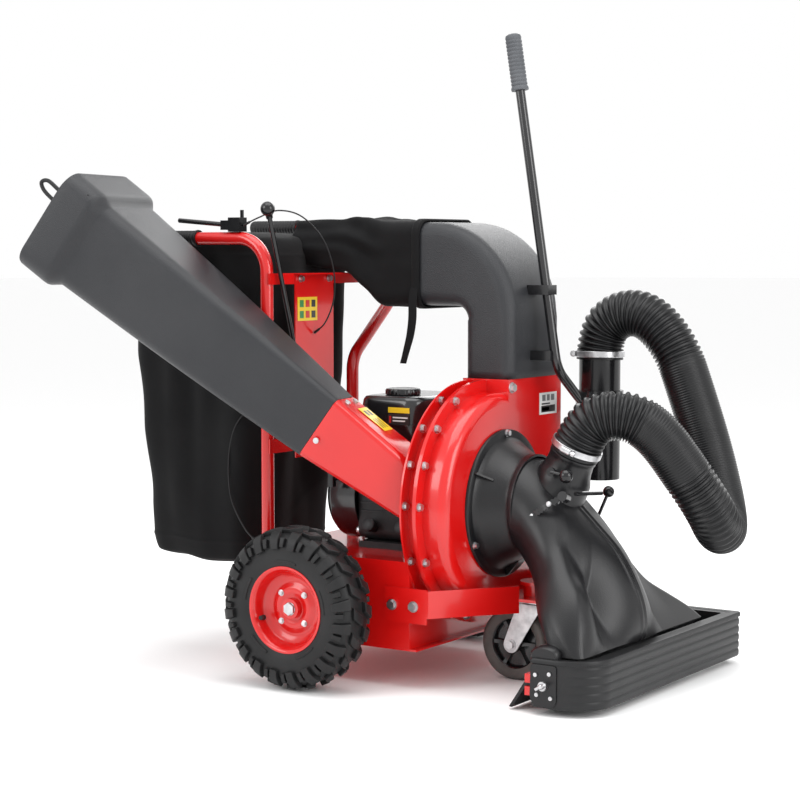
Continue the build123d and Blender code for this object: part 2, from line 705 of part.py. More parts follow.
def make_hose():
    with BuildPart() as suction_hose:
        add(tube(HOSE_ROUTE, HOSE_RADIUS, HOSE_BORE))
    radii = tangent_radii(HOSE_ROUTE)
    print("hose bend radii, mm:", [round(radius) for radius in radii])
    section = math.pi * (HOSE_RADIUS**2 - HOSE_BORE**2)
    print("hose length from its volume, mm:", round(suction_hose.part.volume / section))
    save(suction_hose.part, "suction_hose")

    with BuildPart() as hose_clamps:
        start = Vector(HOSE_ROUTE[0])
        out = (Vector(HOSE_ROUTE[1]) - start).normalized()
        add(bar(start + out * 6, start + out * 19, HOSE_RADIUS + 2.5, HOSE_RADIUS + 0.2))
        end = Vector(HOSE_ROUTE[-1])
        back = (Vector(HOSE_ROUTE[-2]) - end).normalized()
        add(bar(end + back * 6, end + back * 19, HOSE_RADIUS + 2.5, HOSE_RADIUS + 0.2))
    save(hose_clamps.part, "hose_clamps")

    with BuildPart() as wander_tube:
        add(bar((WANDER_X, WANDER_Y, WANDER_BOTTOM_Z), (WANDER_X, WANDER_Y, 662), WANDER_RADIUS, 41))
    save(wander_tube.part, "wander_tube")

    rod_route = [(235, ROD_Y, 1320), (318, ROD_Y, 796), (344, ROD_Y, 632), (352, 216, 556)]
    with BuildPart() as wander_rod:
        with BuildLine():
            FilletPolyline(*rod_route, radius=[200, 60])
        start = Vector(rod_route[0])
        with BuildSketch(Plane(origin=start, z_dir=Vector(rod_route[1]) - start)):
            Circle(ROD_RADIUS)
        sweep()
    save(wander_rod.part, "wander_rod")

    with BuildPart() as wander_grip:
        down = (Vector(rod_route[1]) - Vector(rod_route[0])).normalized()
        top = Vector(rod_route[0])
        add(bar(top - down * 6, top + down * 112, 17))
        fillet(wander_grip.edges().filter_by(GeomType.CIRCLE), radius=4)
        add(bar(top, top + down * 120, ROD_RADIUS), mode=Mode.SUBTRACT)
    save(wander_grip.part, "wander_grip")

    with BuildPart() as rod_clips:
        for low_z, depth in ((786, 1), (650, 0)):
            low = (ELBOW_FRONT_X - 9 * depth, ROD_Y - 18, low_z)
            add(block(low, (ELBOW_FRONT_X + 48 - 6 * depth, ROD_Y + 18, low_z + 20)))
        low = (WANDER_X - 18, 206, 530)
        add(block(low, (WANDER_X + 12, 232, 580)))
        add(bar((WANDER_X, WANDER_Y, 530), (WANDER_X, WANDER_Y, 580), 51))
        add(bar((WANDER_X, WANDER_Y, 529), (WANDER_X, WANDER_Y, 581), WANDER_RADIUS + 0.1), mode=Mode.SUBTRACT)
        add(wander_rod.part, mode=Mode.SUBTRACT)
        add(elbow_solid(0, 0, 26), mode=Mode.SUBTRACT)
    save(rod_clips.part, "rod_clips")


def make_handle():
    near = [(HANDLE_X, NEAR_Y, DECK_Z), (HANDLE_X, NEAR_Y, NEAR_RUN_Z), (-480, NEAR_Y, NEAR_RUN_Z)]
    with BuildPart() as handle_near:
        with BuildLine():
            FilletPolyline(*near, radius=70)
        with BuildSketch(Plane.XY.offset(DECK_Z)):
            with Locations((HANDLE_X, NEAR_Y)):
                Circle(HANDLE_RADIUS)
                Circle(HANDLE_RADIUS - 2, mode=Mode.SUBTRACT)
        sweep()
    save(handle_near.part, "handle_near")

    far = [
        (HANDLE_X, FAR_LOW_Y, DECK_Z),
        (HANDLE_X, FAR_LOW_Y, 642),
        (HANDLE_X, FAR_HIGH_Y, 768),
        (HANDLE_X, FAR_HIGH_Y, FAR_RUN_Z),
        (-560, FAR_HIGH_Y, FAR_RUN_Z),
    ]
    with BuildPart() as handle_far:
        with BuildLine():
            FilletPolyline(*far, radius=[60, 60, 70])
        with BuildSketch(Plane.XY.offset(DECK_Z)):
            with Locations((HANDLE_X, FAR_LOW_Y)):
                Circle(HANDLE_RADIUS)
                Circle(HANDLE_RADIUS - 2, mode=Mode.SUBTRACT)
        sweep()
    save(handle_far.part, "handle_far")

    front = HANDLE_X + HANDLE_RADIUS
    with BuildPart() as cross_plate:
        add(block((front, NEAR_Y - 14, CROSS_PLATE_Z - 23), (front + 3, FAR_HIGH_Y + 14, CROSS_PLATE_Z)))
        add(block((front, -125, CROSS_PLATE_Z - 3), (front + 34, FAR_HIGH_Y + 14, CROSS_PLATE_Z)))
        add(block((front, NEAR_Y - 14, 455), (front + 3, FAR_LOW_Y + 14, 485)))
    save(cross_plate.part, "cross_plates")

    panel = front + 3
    with BuildPart() as control_panel:
        add(block((panel, -123, 440), (panel + 3, 15, CROSS_PLATE_Z - 4)))
    save(control_panel.part, "control_panel")

    with BuildPart() as handle_grips:
        add(bar((-480, NEAR_Y, NEAR_RUN_Z), (-350, NEAR_Y, NEAR_RUN_Z), 17, HANDLE_RADIUS))
        add(bar((-486, NEAR_Y, NEAR_RUN_Z), (-480, NEAR_Y, NEAR_RUN_Z), 17))
        add(bar((-560, FAR_HIGH_Y, FAR_RUN_Z), (-430, FAR_HIGH_Y, FAR_RUN_Z), 17, HANDLE_RADIUS))
        add(bar((-566, FAR_HIGH_Y, FAR_RUN_Z), (-560, FAR_HIGH_Y, FAR_RUN_Z), 17))
    save(handle_grips.part, "handle_grips")

    pivot_x = panel + 3
    with BuildPart() as shift_lever:
        add(bar((pivot_x + 0.3, -112, 600), (pivot_x + 8, -112, 600), 12))
        add(bar((pivot_x + 6, -114, 606), (pivot_x + 10, -226, 950), 5))
        with Locations((pivot_x + 10, -231, 963)):
            Sphere(15)
    save(shift_lever.part, "shift_lever")

    with BuildPart() as control_housing:
        top = NEAR_RUN_Z + HANDLE_RADIUS
        add(block((-262, NEAR_Y - 13, top + 0.2), (-232, NEAR_Y + 13, top + 30)))
        add(block((-282, NEAR_Y - 13, top + 4), (-262, NEAR_Y - 9, top + 24)))
        add(block((-282, NEAR_Y + 9, top + 4), (-262, NEAR_Y + 13, top + 24)))
        add(bar((-272, NEAR_Y - 13, top + 14), (-272, NEAR_Y + 13, top + 14), 3))
        add(bar((-247, NEAR_Y + 13, top + 16), (-247, NEAR_Y + 18, top + 16), 3))
    save(control_housing.part, "control_housing")

    with BuildPart() as clutch_lever:
        bore = 3 + RUNNING_GAP
        add(bar((-272, NEAR_Y - 8.5, top + 14), (-272, NEAR_Y + 8.5, top + 14), 8))
        add(bar((-276, NEAR_Y, top + 15), (-404, NEAR_Y, top + 25), 5))
        add(bar((-272, NEAR_Y - 20, top + 14), (-272, NEAR_Y + 20, top + 14), bore), mode=Mode.SUBTRACT)
    save(clutch_lever.part, "clutch_lever")

    with BuildPart() as throttle_lever:
        low = NEAR_Y + 13.5
        add(bar((-247, low, top + 16), (-247, low + 5, top + 16), 8))
        add(block((-250, low, top + 18), (-244, low + 5, top + 46)))
        add(bar((-247, low - 10, top + 16), (-247, low + 10, top + 16), bore), mode=Mode.SUBTRACT)
    save(throttle_lever.part, "throttle_lever")


def make_cables():
    throttle = [
        (-231, NEAR_Y, 930),
        (-200, -184, 946),
        (-174, -150, 962),
        (-146, -106, 950),
        (-116, -70, 902),
        (-102, -50, 838),
        (-104, -46, 776),
        (-122, -54, 726),
        (-147.4, -60, 702),
    ]
    clutch = [
        (-188, -178, 560),
        (-235, -170, 548),
        (-282, -166, 500),
        (-300, -166, 430),
        (-290, -170, 350),
        (-250, -176, 290),
        (-214, -180, 262),
    ]
    for route, name in ((throttle, "throttle_cable"), (clutch, "clutch_cable")):
        with BuildPart() as cable:
            add(tube(route, 3))
        save(cable.part, name)


def bag_form(skin):
    """The hanging bag and its neck, from the elbow's end over the cross plate."""
    with BuildPart() as made:
        with BuildSketch(Plane.XY.offset(196 + skin)):
            with Locations((-400, 5)):
                RectangleRounded(270 - 2 * skin, 300 - 2 * skin, 40 - skin)
        with BuildSketch(Plane.XY.offset(860)):
            with Locations((-395, 5)):
                RectangleRounded(390 - 2 * skin, 352 - 2 * skin, 50 - skin)
        loft(ruled=True)
        with BuildSketch(Plane.XY.offset(860)):
            with Locations((-395, 5)):
                RectangleRounded(390 - 2 * skin, 352 - 2 * skin, 50 - skin)
        extrude(amount=76 - skin)
        neck_end = Plane(origin=(ELBOW_END_X - 0.2, 127, 849.5), x_dir=(0, 1, 0), z_dir=(1, 0, 0))
        neck_root = Plane(origin=(-118, 112, 886), x_dir=(0, 1, 0), z_dir=(1, 0, 0))
        neck_in = Plane(origin=(-230, 80, 886), x_dir=(0, 1, 0), z_dir=(1, 0, 0))
        with BuildSketch(neck_end):
            RectangleRounded(216 - 2 * skin, 175 - 2 * skin, 26 - skin)
        with BuildSketch(neck_root):
            RectangleRounded(190 - 2 * skin, 100 - 2 * skin, 26 - skin)
        with BuildSketch(neck_in):
            RectangleRounded(180 - 2 * skin, 90 - 2 * skin, 26 - skin)
        loft(ruled=True)
    return made.part


def make_bag():
    with BuildPart() as bag:
        add(bag_form(0))
        add(bag_form(4), mode=Mode.SUBTRACT)
    save(bag.part, "bag")


def make_fasteners():
    with BuildPart() as hex_bolts:
        for angle in BOLT_ANGLES:
            add(hex_bolt(fan_point(HOUSING_SPLIT_X + SHEET, angle, BOLT_CIRCLE_RADIUS), (1, 0, 0), 7))
            add(hex_bolt(fan_point(FRAME_FRONT_X + SHEET, angle, BOLT_CIRCLE_RADIUS), (1, 0, 0), 7))
        for side in (-1, 1):
            for x in (158, 209):
                add(hex_bolt((x, side * (FRAME_HALF_WIDTH + 5), 170), (0, side, 0), 9))
        for angle in (0, 120, 240):
            add(hex_bolt(fan_point(294, angle, 144.5), (1, 0, 0), 6))
        add(hex_bolt((ELBOW_FRONT_X - 3, 31, 596), (1, 0, 0), 9))
        for y, z in ((-105, 818), (-3, 818)):
            add(hex_bolt((HANDLE_X + HANDLE_RADIUS + 6, y, z), (1, 0, 0), 6))
        for x in (-5, 105):
            for y in (-87, 87):
                add(hex_bolt((x, y, DECK_Z + 14), (0, 0, 1), 6))
    save(hex_bolts.part, "hex_bolts")

    with BuildPart() as small_screws:
        down = (HOPPER_JOINT - HOPPER_MOUTH).normalized()
        plane = hopper_plane(0)
        for x, y in ((CHUTE_WIDTH / 2, -20), (20, CHUTE_HEIGHT / 2), (-20, CHUTE_HEIGHT / 2)):
            place = plane.from_local_coords(Vector(x, y, -14))
            out = plane.x_dir if x == CHUTE_WIDTH / 2 else plane.y_dir
            add(bar(place + out * 1.5, place + out * 5, 6))
        for x, z in ((515, 78), (545, 82), (518, 40), (548, 36)):
            add(bar((x, -265, z), (x, -268, z), 4))
        add(bar((532, -265, 58), (532, -272, 58), 9))
    save(small_screws.part, "small_screws")


make_chassis()
make_bumper()
make_rear_wheel(-1, "right")
make_rear_wheel(1, "left")
make_caster()
make_housing()
make_rotor()
make_engine()
make_elbow()
make_chipper()
make_nozzle()
make_valves()
make_hose()
make_handle()
make_cables()
make_bag()
make_fasteners()
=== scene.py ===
import bmesh
import bpy
import json
from math import atan2, copysign, cos, pi, radians, sin
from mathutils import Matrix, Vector, noise


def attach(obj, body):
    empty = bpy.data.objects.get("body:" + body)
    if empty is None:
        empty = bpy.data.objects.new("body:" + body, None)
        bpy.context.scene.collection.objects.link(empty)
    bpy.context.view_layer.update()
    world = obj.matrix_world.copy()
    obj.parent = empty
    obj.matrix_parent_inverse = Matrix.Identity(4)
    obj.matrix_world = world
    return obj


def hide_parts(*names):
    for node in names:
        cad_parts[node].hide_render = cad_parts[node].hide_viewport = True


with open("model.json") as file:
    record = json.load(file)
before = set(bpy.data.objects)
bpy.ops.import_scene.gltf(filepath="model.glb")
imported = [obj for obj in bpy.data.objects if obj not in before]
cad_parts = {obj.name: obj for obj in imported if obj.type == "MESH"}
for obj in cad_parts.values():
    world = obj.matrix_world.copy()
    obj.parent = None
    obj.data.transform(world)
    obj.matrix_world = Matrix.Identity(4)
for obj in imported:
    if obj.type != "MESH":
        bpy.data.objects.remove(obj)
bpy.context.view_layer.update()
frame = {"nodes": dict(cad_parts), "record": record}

X, Y, Z = Vector((1, 0, 0)), Vector((0, 1, 0)), Vector((0, 0, 1))

# places that several pieces share, in metres
AXLE_HEIGHT = 0.165
HALF_TRACK = 0.325
CASTER_CENTRE = (0.323, 0, 0.075)
FAN_HEIGHT = 0.361
ELBOW_Y = 0.127
OUTLET_HEIGHT = 0.8495


# ---------------------------------------------------------------- materials
def shader(name, color, rough, metal=0.0, coat=0.0, coat_rough=0.1, sheen=0.0, specular=0.5):
    mat = bpy.data.materials.new(name)
    mat.use_nodes = True
    bsdf = mat.node_tree.nodes["Principled BSDF"]
    bsdf.inputs["Base Color"].default_value = (*color, 1)
    bsdf.inputs["Roughness"].default_value = rough
    bsdf.inputs["Metallic"].default_value = metal
    bsdf.inputs["Coat Weight"].default_value = coat
    bsdf.inputs["Coat Roughness"].default_value = coat_rough
    bsdf.inputs["Sheen Weight"].default_value = sheen
    bsdf.inputs["Specular IOR Level"].default_value = specular
    return mat


def add_node(mat, kind, **values):
    node = mat.node_tree.nodes.new(kind)
    for key, value in values.items():
        if hasattr(node, key):
            setattr(node, key, value)
        else:
            node.inputs[key.replace("_", " ")].default_value = value
    return node


def object_coordinates(mat):
    return add_node(mat, "ShaderNodeTexCoord").outputs["Object"]


def vary_color(mat, low, high, scale):
    """Colour that drifts between two tones."""
    links = mat.node_tree.links
    spots = add_node(mat, "ShaderNodeTexNoise", Scale=scale, Detail=4.0)
    links.new(object_coordinates(mat), spots.inputs["Vector"])
    ramp = add_node(mat, "ShaderNodeValToRGB")
    ramp.color_ramp.elements[0].position = 0.32
    ramp.color_ramp.elements[0].color = (*low, 1)
    ramp.color_ramp.elements[1].position = 0.68
    ramp.color_ramp.elements[1].color = (*high, 1)
    links.new(spots.outputs["Fac"], ramp.inputs["Fac"])
    links.new(ramp.outputs["Color"], mat.node_tree.nodes["Principled BSDF"].inputs["Base Color"])


def vary_rough(mat, low, high, scale):
    links = mat.node_tree.links
    spots = add_node(mat, "ShaderNodeTexNoise", Scale=scale, Detail=3.0)
    links.new(object_coordinates(mat), spots.inputs["Vector"])
    span = add_node(mat, "ShaderNodeMapRange")
    span.inputs["To Min"].default_value = low
    span.inputs["To Max"].default_value = high
    links.new(spots.outputs["Fac"], span.inputs["Value"])
    links.new(span.outputs["Result"], mat.node_tree.nodes["Principled BSDF"].inputs["Roughness"])


def grain(mat, scale, strength, distance, kind="noise"):
    """A fine raised texture over the whole surface."""
    links = mat.node_tree.links
    if kind == "noise":
        source = add_node(mat, "ShaderNodeTexNoise", Scale=scale, Detail=2.0)
        height = source.outputs["Fac"]
    else:
        source = add_node(mat, "ShaderNodeTexVoronoi", Scale=scale)
        height = source.outputs["Distance"]
    links.new(object_coordinates(mat), source.inputs["Vector"])
    bump = add_node(mat, "ShaderNodeBump", Strength=strength, Distance=distance)
    links.new(height, bump.inputs["Height"])
    links.new(bump.outputs["Normal"], mat.node_tree.nodes["Principled BSDF"].inputs["Normal"])


def weave(mat, threads, strength):
    """A plain weave: two crossed sets of threads."""
    links = mat.node_tree.links
    where = object_coordinates(mat)
    sets = []
    for direction in ("DIAGONAL", "Z"):
        wave = add_node(mat, "ShaderNodeTexWave", bands_direction=direction, Scale=threads,
                        Distortion=0.6)
        links.new(where, wave.inputs["Vector"])
        sets.append(wave.outputs["Fac"])
    both = add_node(mat, "ShaderNodeMath", operation="MAXIMUM")
    links.new(sets[0], both.inputs[0])
    links.new(sets[1], both.inputs[1])
    bump = add_node(mat, "ShaderNodeBump", Strength=strength, Distance=0.0006)
    links.new(both.outputs[0], bump.inputs["Height"])
    links.new(bump.outputs["Normal"], mat.node_tree.nodes["Principled BSDF"].inputs["Normal"])


FINISHES = {
    # slot: colour, roughness, the shader's other values, two tones and their scale,
    # the roughness's range and scale, and the raised grain's scale, strength, height and kind
    "red_paint": (
        (0.60, 0.004, 0.004), 0.26, dict(coat=0.5, coat_rough=0.08),
        ((0.55, 0.003, 0.003), (0.65, 0.006, 0.005), 3), None, (260, 0.05, 0.0006)),
    "black_paint": (
        (0.007, 0.007, 0.008), 0.22, dict(coat=0.4, coat_rough=0.08),
        ((0.006, 0.006, 0.007), (0.011, 0.011, 0.012), 6), None, (240, 0.04, 0.0006)),
    "zinc_steel": (
        (0.60, 0.60, 0.61), 0.33, dict(metal=1.0),
        ((0.46, 0.46, 0.47), (0.70, 0.70, 0.71), 60), (0.24, 0.46, 90), None),
    "shaft_steel": ((0.50, 0.50, 0.52), 0.28, dict(metal=1.0), None, (0.20, 0.40, 120), None),
    "engine_alloy": (
        (0.016, 0.016, 0.017), 0.50, dict(metal=0.3),
        ((0.012, 0.012, 0.013), (0.026, 0.026, 0.028), 25), None, (420, 0.35, 0.0006)),
    "gear_alloy": (
        (0.40, 0.40, 0.42), 0.50, dict(metal=0.9),
        ((0.30, 0.30, 0.31), (0.46, 0.46, 0.48), 30), None, (380, 0.35, 0.0006)),
    "impeller_steel": ((0.13, 0.13, 0.14), 0.45, dict(metal=0.7), None, (0.35, 0.55, 40), None),
    "charcoal_plastic": (
        (0.022, 0.023, 0.026), 0.42, dict(specular=0.40),
        ((0.018, 0.019, 0.022), (0.026, 0.027, 0.030), 5), None, (620, 0.55, 0.0008, "voronoi")),
    "nozzle_plastic": (
        (0.006, 0.006, 0.007), 0.33, dict(specular=0.40),
        ((0.005, 0.005, 0.006), (0.009, 0.009, 0.010), 8), None, (520, 0.30, 0.0006, "voronoi")),
    "gloss_plastic": ((0.007, 0.007, 0.008), 0.18, {}, None, (0.14, 0.24, 30), (300, 0.04, 0.0005)),
    "hose_plastic": (
        (0.006, 0.0062, 0.007), 0.36, dict(specular=0.35),
        ((0.005, 0.0052, 0.006), (0.009, 0.0092, 0.010), 20), None, (700, 0.15, 0.0004)),
    "skirt_rubber": (
        (0.009, 0.0092, 0.010), 0.42, dict(specular=0.35),
        ((0.007, 0.0072, 0.008), (0.012, 0.0122, 0.013), 14), None, (520, 0.30, 0.0005)),
    "tyre_rubber": (
        (0.006, 0.006, 0.0065), 0.50, dict(specular=0.35),
        ((0.005, 0.005, 0.0055), (0.010, 0.010, 0.0105), 18), None, (480, 0.35, 0.0006)),
    "caster_rubber": (
        (0.085, 0.078, 0.072), 0.60, {},
        ((0.070, 0.064, 0.060), (0.110, 0.100, 0.092), 24), None, (420, 0.30, 0.0005)),
    "grip_rubber": (
        (0.075, 0.080, 0.088), 0.60, {},
        ((0.065, 0.070, 0.078), (0.090, 0.095, 0.104), 18), None, (520, 0.30, 0.0005)),
    "black_rubber": (
        (0.008, 0.008, 0.009), 0.50, dict(specular=0.35),
        ((0.006, 0.006, 0.007), (0.012, 0.012, 0.013), 18), None, (420, 0.30, 0.0005)),
    "bag_fabric": (
        (0.004, 0.004, 0.0045), 0.88, dict(sheen=0.04, specular=0.20),
        ((0.0035, 0.0035, 0.004), (0.0055, 0.0055, 0.006), 9), None, None),
}


def make_materials():
    made = {}
    for name, (color, rough, more, tones, rough_range, raised) in FINISHES.items():
        mat = shader(name, color, rough, **more)
        if tones:
            vary_color(mat, *tones)
        if rough_range:
            vary_rough(mat, *rough_range)
        if raised:
            grain(mat, *raised)
        made[name] = mat
    weave(made["bag_fabric"], 260, 0.45)
    return made


MAT = make_materials()


def label_material(name, color):
    """A printed film."""
    mat = shader(name, color, 0.35, coat=0.3)
    vary_color(mat, tuple(c * 0.93 for c in color), color, 12)
    return mat


YELLOW = label_material("label_yellow", (0.80, 0.55, 0.02))
WHITE = label_material("label_white", (0.75, 0.75, 0.74))
GREY = label_material("label_grey", (0.16, 0.165, 0.17))
INK = label_material("label_ink", (0.02, 0.02, 0.02))
GREEN = label_material("label_green", (0.03, 0.22, 0.06))
RED_INK = label_material("label_red", (0.55, 0.02, 0.02))


# ---------------------------------------------------------------- mesh helpers
def solid(name, form, slot, body="machine", mat=None, smooth=True, angle=40, stands_for=None):
    """A closed piece whose faces point outwards.

    form is its points and faces, and stands_for the CAD node that it hides.
    """
    verts, faces = form
    mesh = bpy.data.meshes.new(name)
    mesh.from_pydata([tuple(v) for v in verts], [], faces)
    mesh.validate()
    mesh.update()
    obj = bpy.data.objects.new(name, mesh)
    bpy.context.scene.collection.objects.link(obj)
    mesh.materials.append(mat or MAT[slot])
    if smooth:
        mesh.polygons.foreach_set("use_smooth", [True] * len(mesh.polygons))
        mesh.set_sharp_from_angle(angle=radians(angle))
    work = bmesh.new()
    work.from_mesh(mesh)
    bmesh.ops.remove_doubles(work, verts=work.verts, dist=1e-6)
    bmesh.ops.recalc_face_normals(work, faces=work.faces)
    work.to_mesh(mesh)
    work.free()
    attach(obj, body)
    if stands_for:
        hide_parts(stands_for)
    return obj


def skin_rings(rings, loop=False, cap_start=False, cap_end=False):
    """Faces between rings of points; each ring has the same number of points."""
    n = len(rings[0])
    verts = [p for ring in rings for p in ring]
    faces = []
    count = len(rings)
    for i in range(count if loop else count - 1):
        j = (i + 1) % count
        for k in range(n):
            q = (k + 1) % n
            faces.append((i * n + k, i * n + q, j * n + q, j * n + k))
    if cap_start:
        faces.append(tuple(range(n)))
    if cap_end:
        faces.append(tuple((count - 1) * n + k for k in range(n)))
    return verts, faces


def shut(rings):
    """Faces between rings, with both ends closed."""
    return skin_rings(rings, cap_start=True, cap_end=True)


def joined(parts):
    verts, faces = [], []
    for vs, fs in parts:
        base = len(verts)
        verts.extend(vs)
        faces.extend(tuple(i + base for i in f) for f in fs)
    return verts, faces


def modifier(obj, kind, **values):
    mod = obj.modifiers.new(kind.lower(), kind)
    for key, value in values.items():
        setattr(mod, key, value)
    return mod


def wall(obj, thickness):
    """Gives a single skin its wall, inwards."""
    modifier(obj, "SOLIDIFY", thickness=thickness, offset=-1, use_even_offset=False, use_rim=True)


def soften(obj, width, segments=2, angle=35):
    modifier(obj, "BEVEL", width=width, segments=segments, limit_method="ANGLE",
             angle_limit=radians(angle))


def rounded_ring(centre, ux, uy, w, h, r, arc=6, side=6):
    """A rounded rectangle of points with width w along ux and height h along uy."""
    pts = []
    corners = ((1, 1, 0), (-1, 1, 90), (-1, -1, 180), (1, -1, 270))
    for index, (sx, sy, start) in enumerate(corners):
        cx = sx * (w / 2 - r)
        cy = sy * (h / 2 - r)
        for k in range(arc + 1):
            a = radians(start + 90 * k / arc)
            pts.append((cx + r * cos(a), cy + r * sin(a)))
        nx, ny, _ = corners[(index + 1) % 4]
        a = radians(start + 90)
        here = (cx + r * cos(a), cy + r * sin(a))
        there = (nx * (w / 2 - r) + r * cos(a), ny * (h / 2 - r) + r * sin(a))
        for k in range(1, side):
            f = k / side
            pts.append((here[0] + (there[0] - here[0]) * f, here[1] + (there[1] - here[1]) * f))
    return [centre + ux * x + uy * y for x, y in pts]


def disc_frame(axis):
    axis = Vector(axis).normalized()
    side = axis.orthogonal().normalized()
    return side, axis.cross(side)


def circle_points(centre, axis, radius, n):
    u, v = disc_frame(axis)
    return [Vector(centre) + (u * cos(2 * pi * k / n) + v * sin(2 * pi * k / n)) * radius
            for k in range(n)]


def lathe(profile, centre, axis, n=48, loop=False):
    """Turns (distance along the axis, radius) points round an axis."""
    axis = Vector(axis).normalized()
    rings = [circle_points(Vector(centre) + axis * d, axis, max(r, 1e-5), n) for d, r in profile]
    return skin_rings(rings, loop=loop, cap_start=not loop, cap_end=not loop)


def hexagon_bolt(centre, axis, radius=0.007, height=0.006):
    """Washer, head with a domed top: one closed form."""
    axis = Vector(axis).normalized()
    washer = lathe([(0, radius * 1.25), (0.0018, radius * 1.25)], centre, axis, 20)
    rings = [circle_points(Vector(centre) + axis * d, axis, r, 6) for d, r in
             ((0.0018, radius), (0.0018 + height * 0.85, radius), (0.0018 + height, radius * 0.82))]
    return joined([washer, shut(rings)])


def bent_box(low, high):
    """Box corners as verts and faces."""
    (x0, y0, z0), (x1, y1, z1) = low, high
    verts = [Vector((x, y, z)) for z in (z0, z1) for x, y in ((x0, y0), (x1, y0), (x1, y1), (x0, y1))]
    faces = [(0, 3, 2, 1), (4, 5, 6, 7), (0, 1, 5, 4), (1, 2, 6, 5), (2, 3, 7, 6), (3, 0, 4, 7)]
    return verts, faces


def tube_along(points, radius, n):
    """A round bar through points, kept from twisting."""
    pts = [Vector(p) for p in points]
    rings = []
    side = None
    for i, p in enumerate(pts):
        along = (pts[min(i + 1, len(pts) - 1)] - pts[max(i - 1, 0)]).normalized()
        if side is None:
            side = along.orthogonal().normalized()
        side = (side - along * side.dot(along)).normalized()
        up = along.cross(side)
        rings.append([p + (side * cos(2 * pi * k / n) + up * sin(2 * pi * k / n)) * radius
                      for k in range(n)])
    return shut(rings)


def smooth_path(points, samples=60):
    """Points along a smooth curve through the given ones."""
    pts = [Vector(p) for p in points]
    pts = [pts[0] * 2 - pts[1]] + pts + [pts[-1] * 2 - pts[-2]]
    out = []
    spans = len(pts) - 3
    for i in range(samples + 1):
        t = min(i / samples * spans, spans - 1e-6)
        k = int(t)
        f = t - k
        a, b, c, d = pts[k:k + 4]
        out.append(0.5 * ((2 * b) + (c - a) * f + (2 * a - 5 * b + 4 * c - d) * f * f
                          + (3 * b - a - 3 * c + d) * f ** 3))
    return out


def mixed(table, t):
    """Smooth values between rows of (position, values...)."""
    keys = [row[0] for row in table]
    t = min(max(t, keys[0]), keys[-1] - 1e-9)
    i = max(k for k in range(len(keys) - 1) if keys[k] <= t)
    f = (t - keys[i]) / (keys[i + 1] - keys[i])
    rows = [table[max(i - 1, 0)], table[i], table[i + 1], table[min(i + 2, len(table) - 1)]]
    out = []
    for a, b, c, d in zip(*[row[1:] for row in rows]):
        m0 = (c - a) / 2
        m1 = (d - b) / 2
        out.append((2 * f ** 3 - 3 * f ** 2 + 1) * b + (f ** 3 - 2 * f ** 2 + f) * m0
                   + (-2 * f ** 3 + 3 * f ** 2) * c + (f ** 3 - f ** 2) * m1)
    return out


def finish_cad():
    """Every CAD piece that stays takes its own material."""
    for sub in frame["record"]["subparts"]:
        obj = frame["nodes"].get(sub["node"])
        if obj is None or obj.type != "MESH":
            continue
        obj.data.materials.clear()
        obj.data.materials.append(MAT[sub["material_slot"]])


# ---------------------------------------------------------------- wheels
def tyre_surface(a):
    """A point of the carcass: a runs from -90 to 90 degrees across the tread and shoulders."""
    s, c = sin(a), cos(a)
    y = 0.046 * copysign(abs(s) ** 0.72, s)
    r = 0.112 + 0.0435 * max(c, 0) ** 0.62
    return y, r


def make_tyre(side, name):
    centre = Vector((0, side * HALF_TRACK, AXLE_HEIGHT))

    def at(theta, y, r):
        return centre + Vector((r * cos(theta), y, r * sin(theta)))

    profile = [(-0.040, 0.081), (-0.043, 0.092), (-0.0475, 0.104)]
    profile += [tyre_surface(radians(d)) for d in range(-80, 81, 10)]
    profile += [(0.0475, 0.104), (0.043, 0.092), (0.040, 0.081), (0.036, 0.0812), (0.0405, 0.100),
                (0.036, 0.135), (-0.036, 0.135), (-0.0405, 0.100), (-0.036, 0.0812)]
    rings = [[at(2 * pi * k / 96, y, r) for k in range(96)] for y, r in profile]
    parts = [skin_rings(rings, loop=True)]

    def lug(theta, start, end, width, skew, height, taper=1.0):
        rows = 5
        low, top = [], []
        for i in range(rows):
            f = i / (rows - 1)
            a = radians(start + (end - start) * f)
            y, r = tyre_surface(a)
            y2, r2 = tyre_surface(a + 0.02)
            y1, r1 = tyre_surface(a - 0.02)
            normal = Vector((r2 - r1, y1 - y2)).normalized()
            if normal.dot(Vector((y, r - 0.10))) < 0:
                normal = -normal
            half = width * (1 + (taper - 1) * f) / 2
            mid = theta + skew * f
            for bucket, lift, squeeze in ((low, -0.002, 1.12), (top, height, 0.86)):
                yy = y + normal.x * lift
                rr = r + normal.y * lift
                bucket.append([at(mid + s * half * squeeze, yy, min(rr, 0.1648)) for s in (-1, 1)])
        rings = [[low[i][0], low[i][1], top[i][1], top[i][0]] for i in range(rows)]
        return shut(rings)

    pitches = 20
    step = 2 * pi / pitches
    for k in range(pitches):
        t = k * step
        for s, shift in ((1, 0), (-1, step / 2)):
            parts.append(lug(t + shift, s * 34, s * 84, step * 0.50, s * 0.02, 0.0085, 0.92))
            parts.append(lug(t + shift + step * 0.52, s * 56, s * 80, step * 0.26, 0, 0.0075, 0.9))
            parts.append(lug(t + shift + step * 0.30, s * 3, s * 27, step * 0.42, -s * 0.10, 0.0088,
                             1.15))
    for k in range(5):
        for s in (1, -1):
            a0 = k * 2 * pi / 5
            rings = []
            for j in range(9):
                aa = a0 + 0.5 * j / 8
                rings.append([at(aa, s * 0.044, 0.095), at(aa, s * 0.0470, 0.0955),
                              at(aa, s * 0.0478, 0.099), at(aa, s * 0.0465, 0.1015)])
            parts.append(shut(rings))
    obj = solid("tread_" + name, joined(parts), "tyre_rubber", "wheel_" + name, angle=34)
    soften(obj, 0.0012, 2, 38)
    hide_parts("tyre_" + name)
    return obj


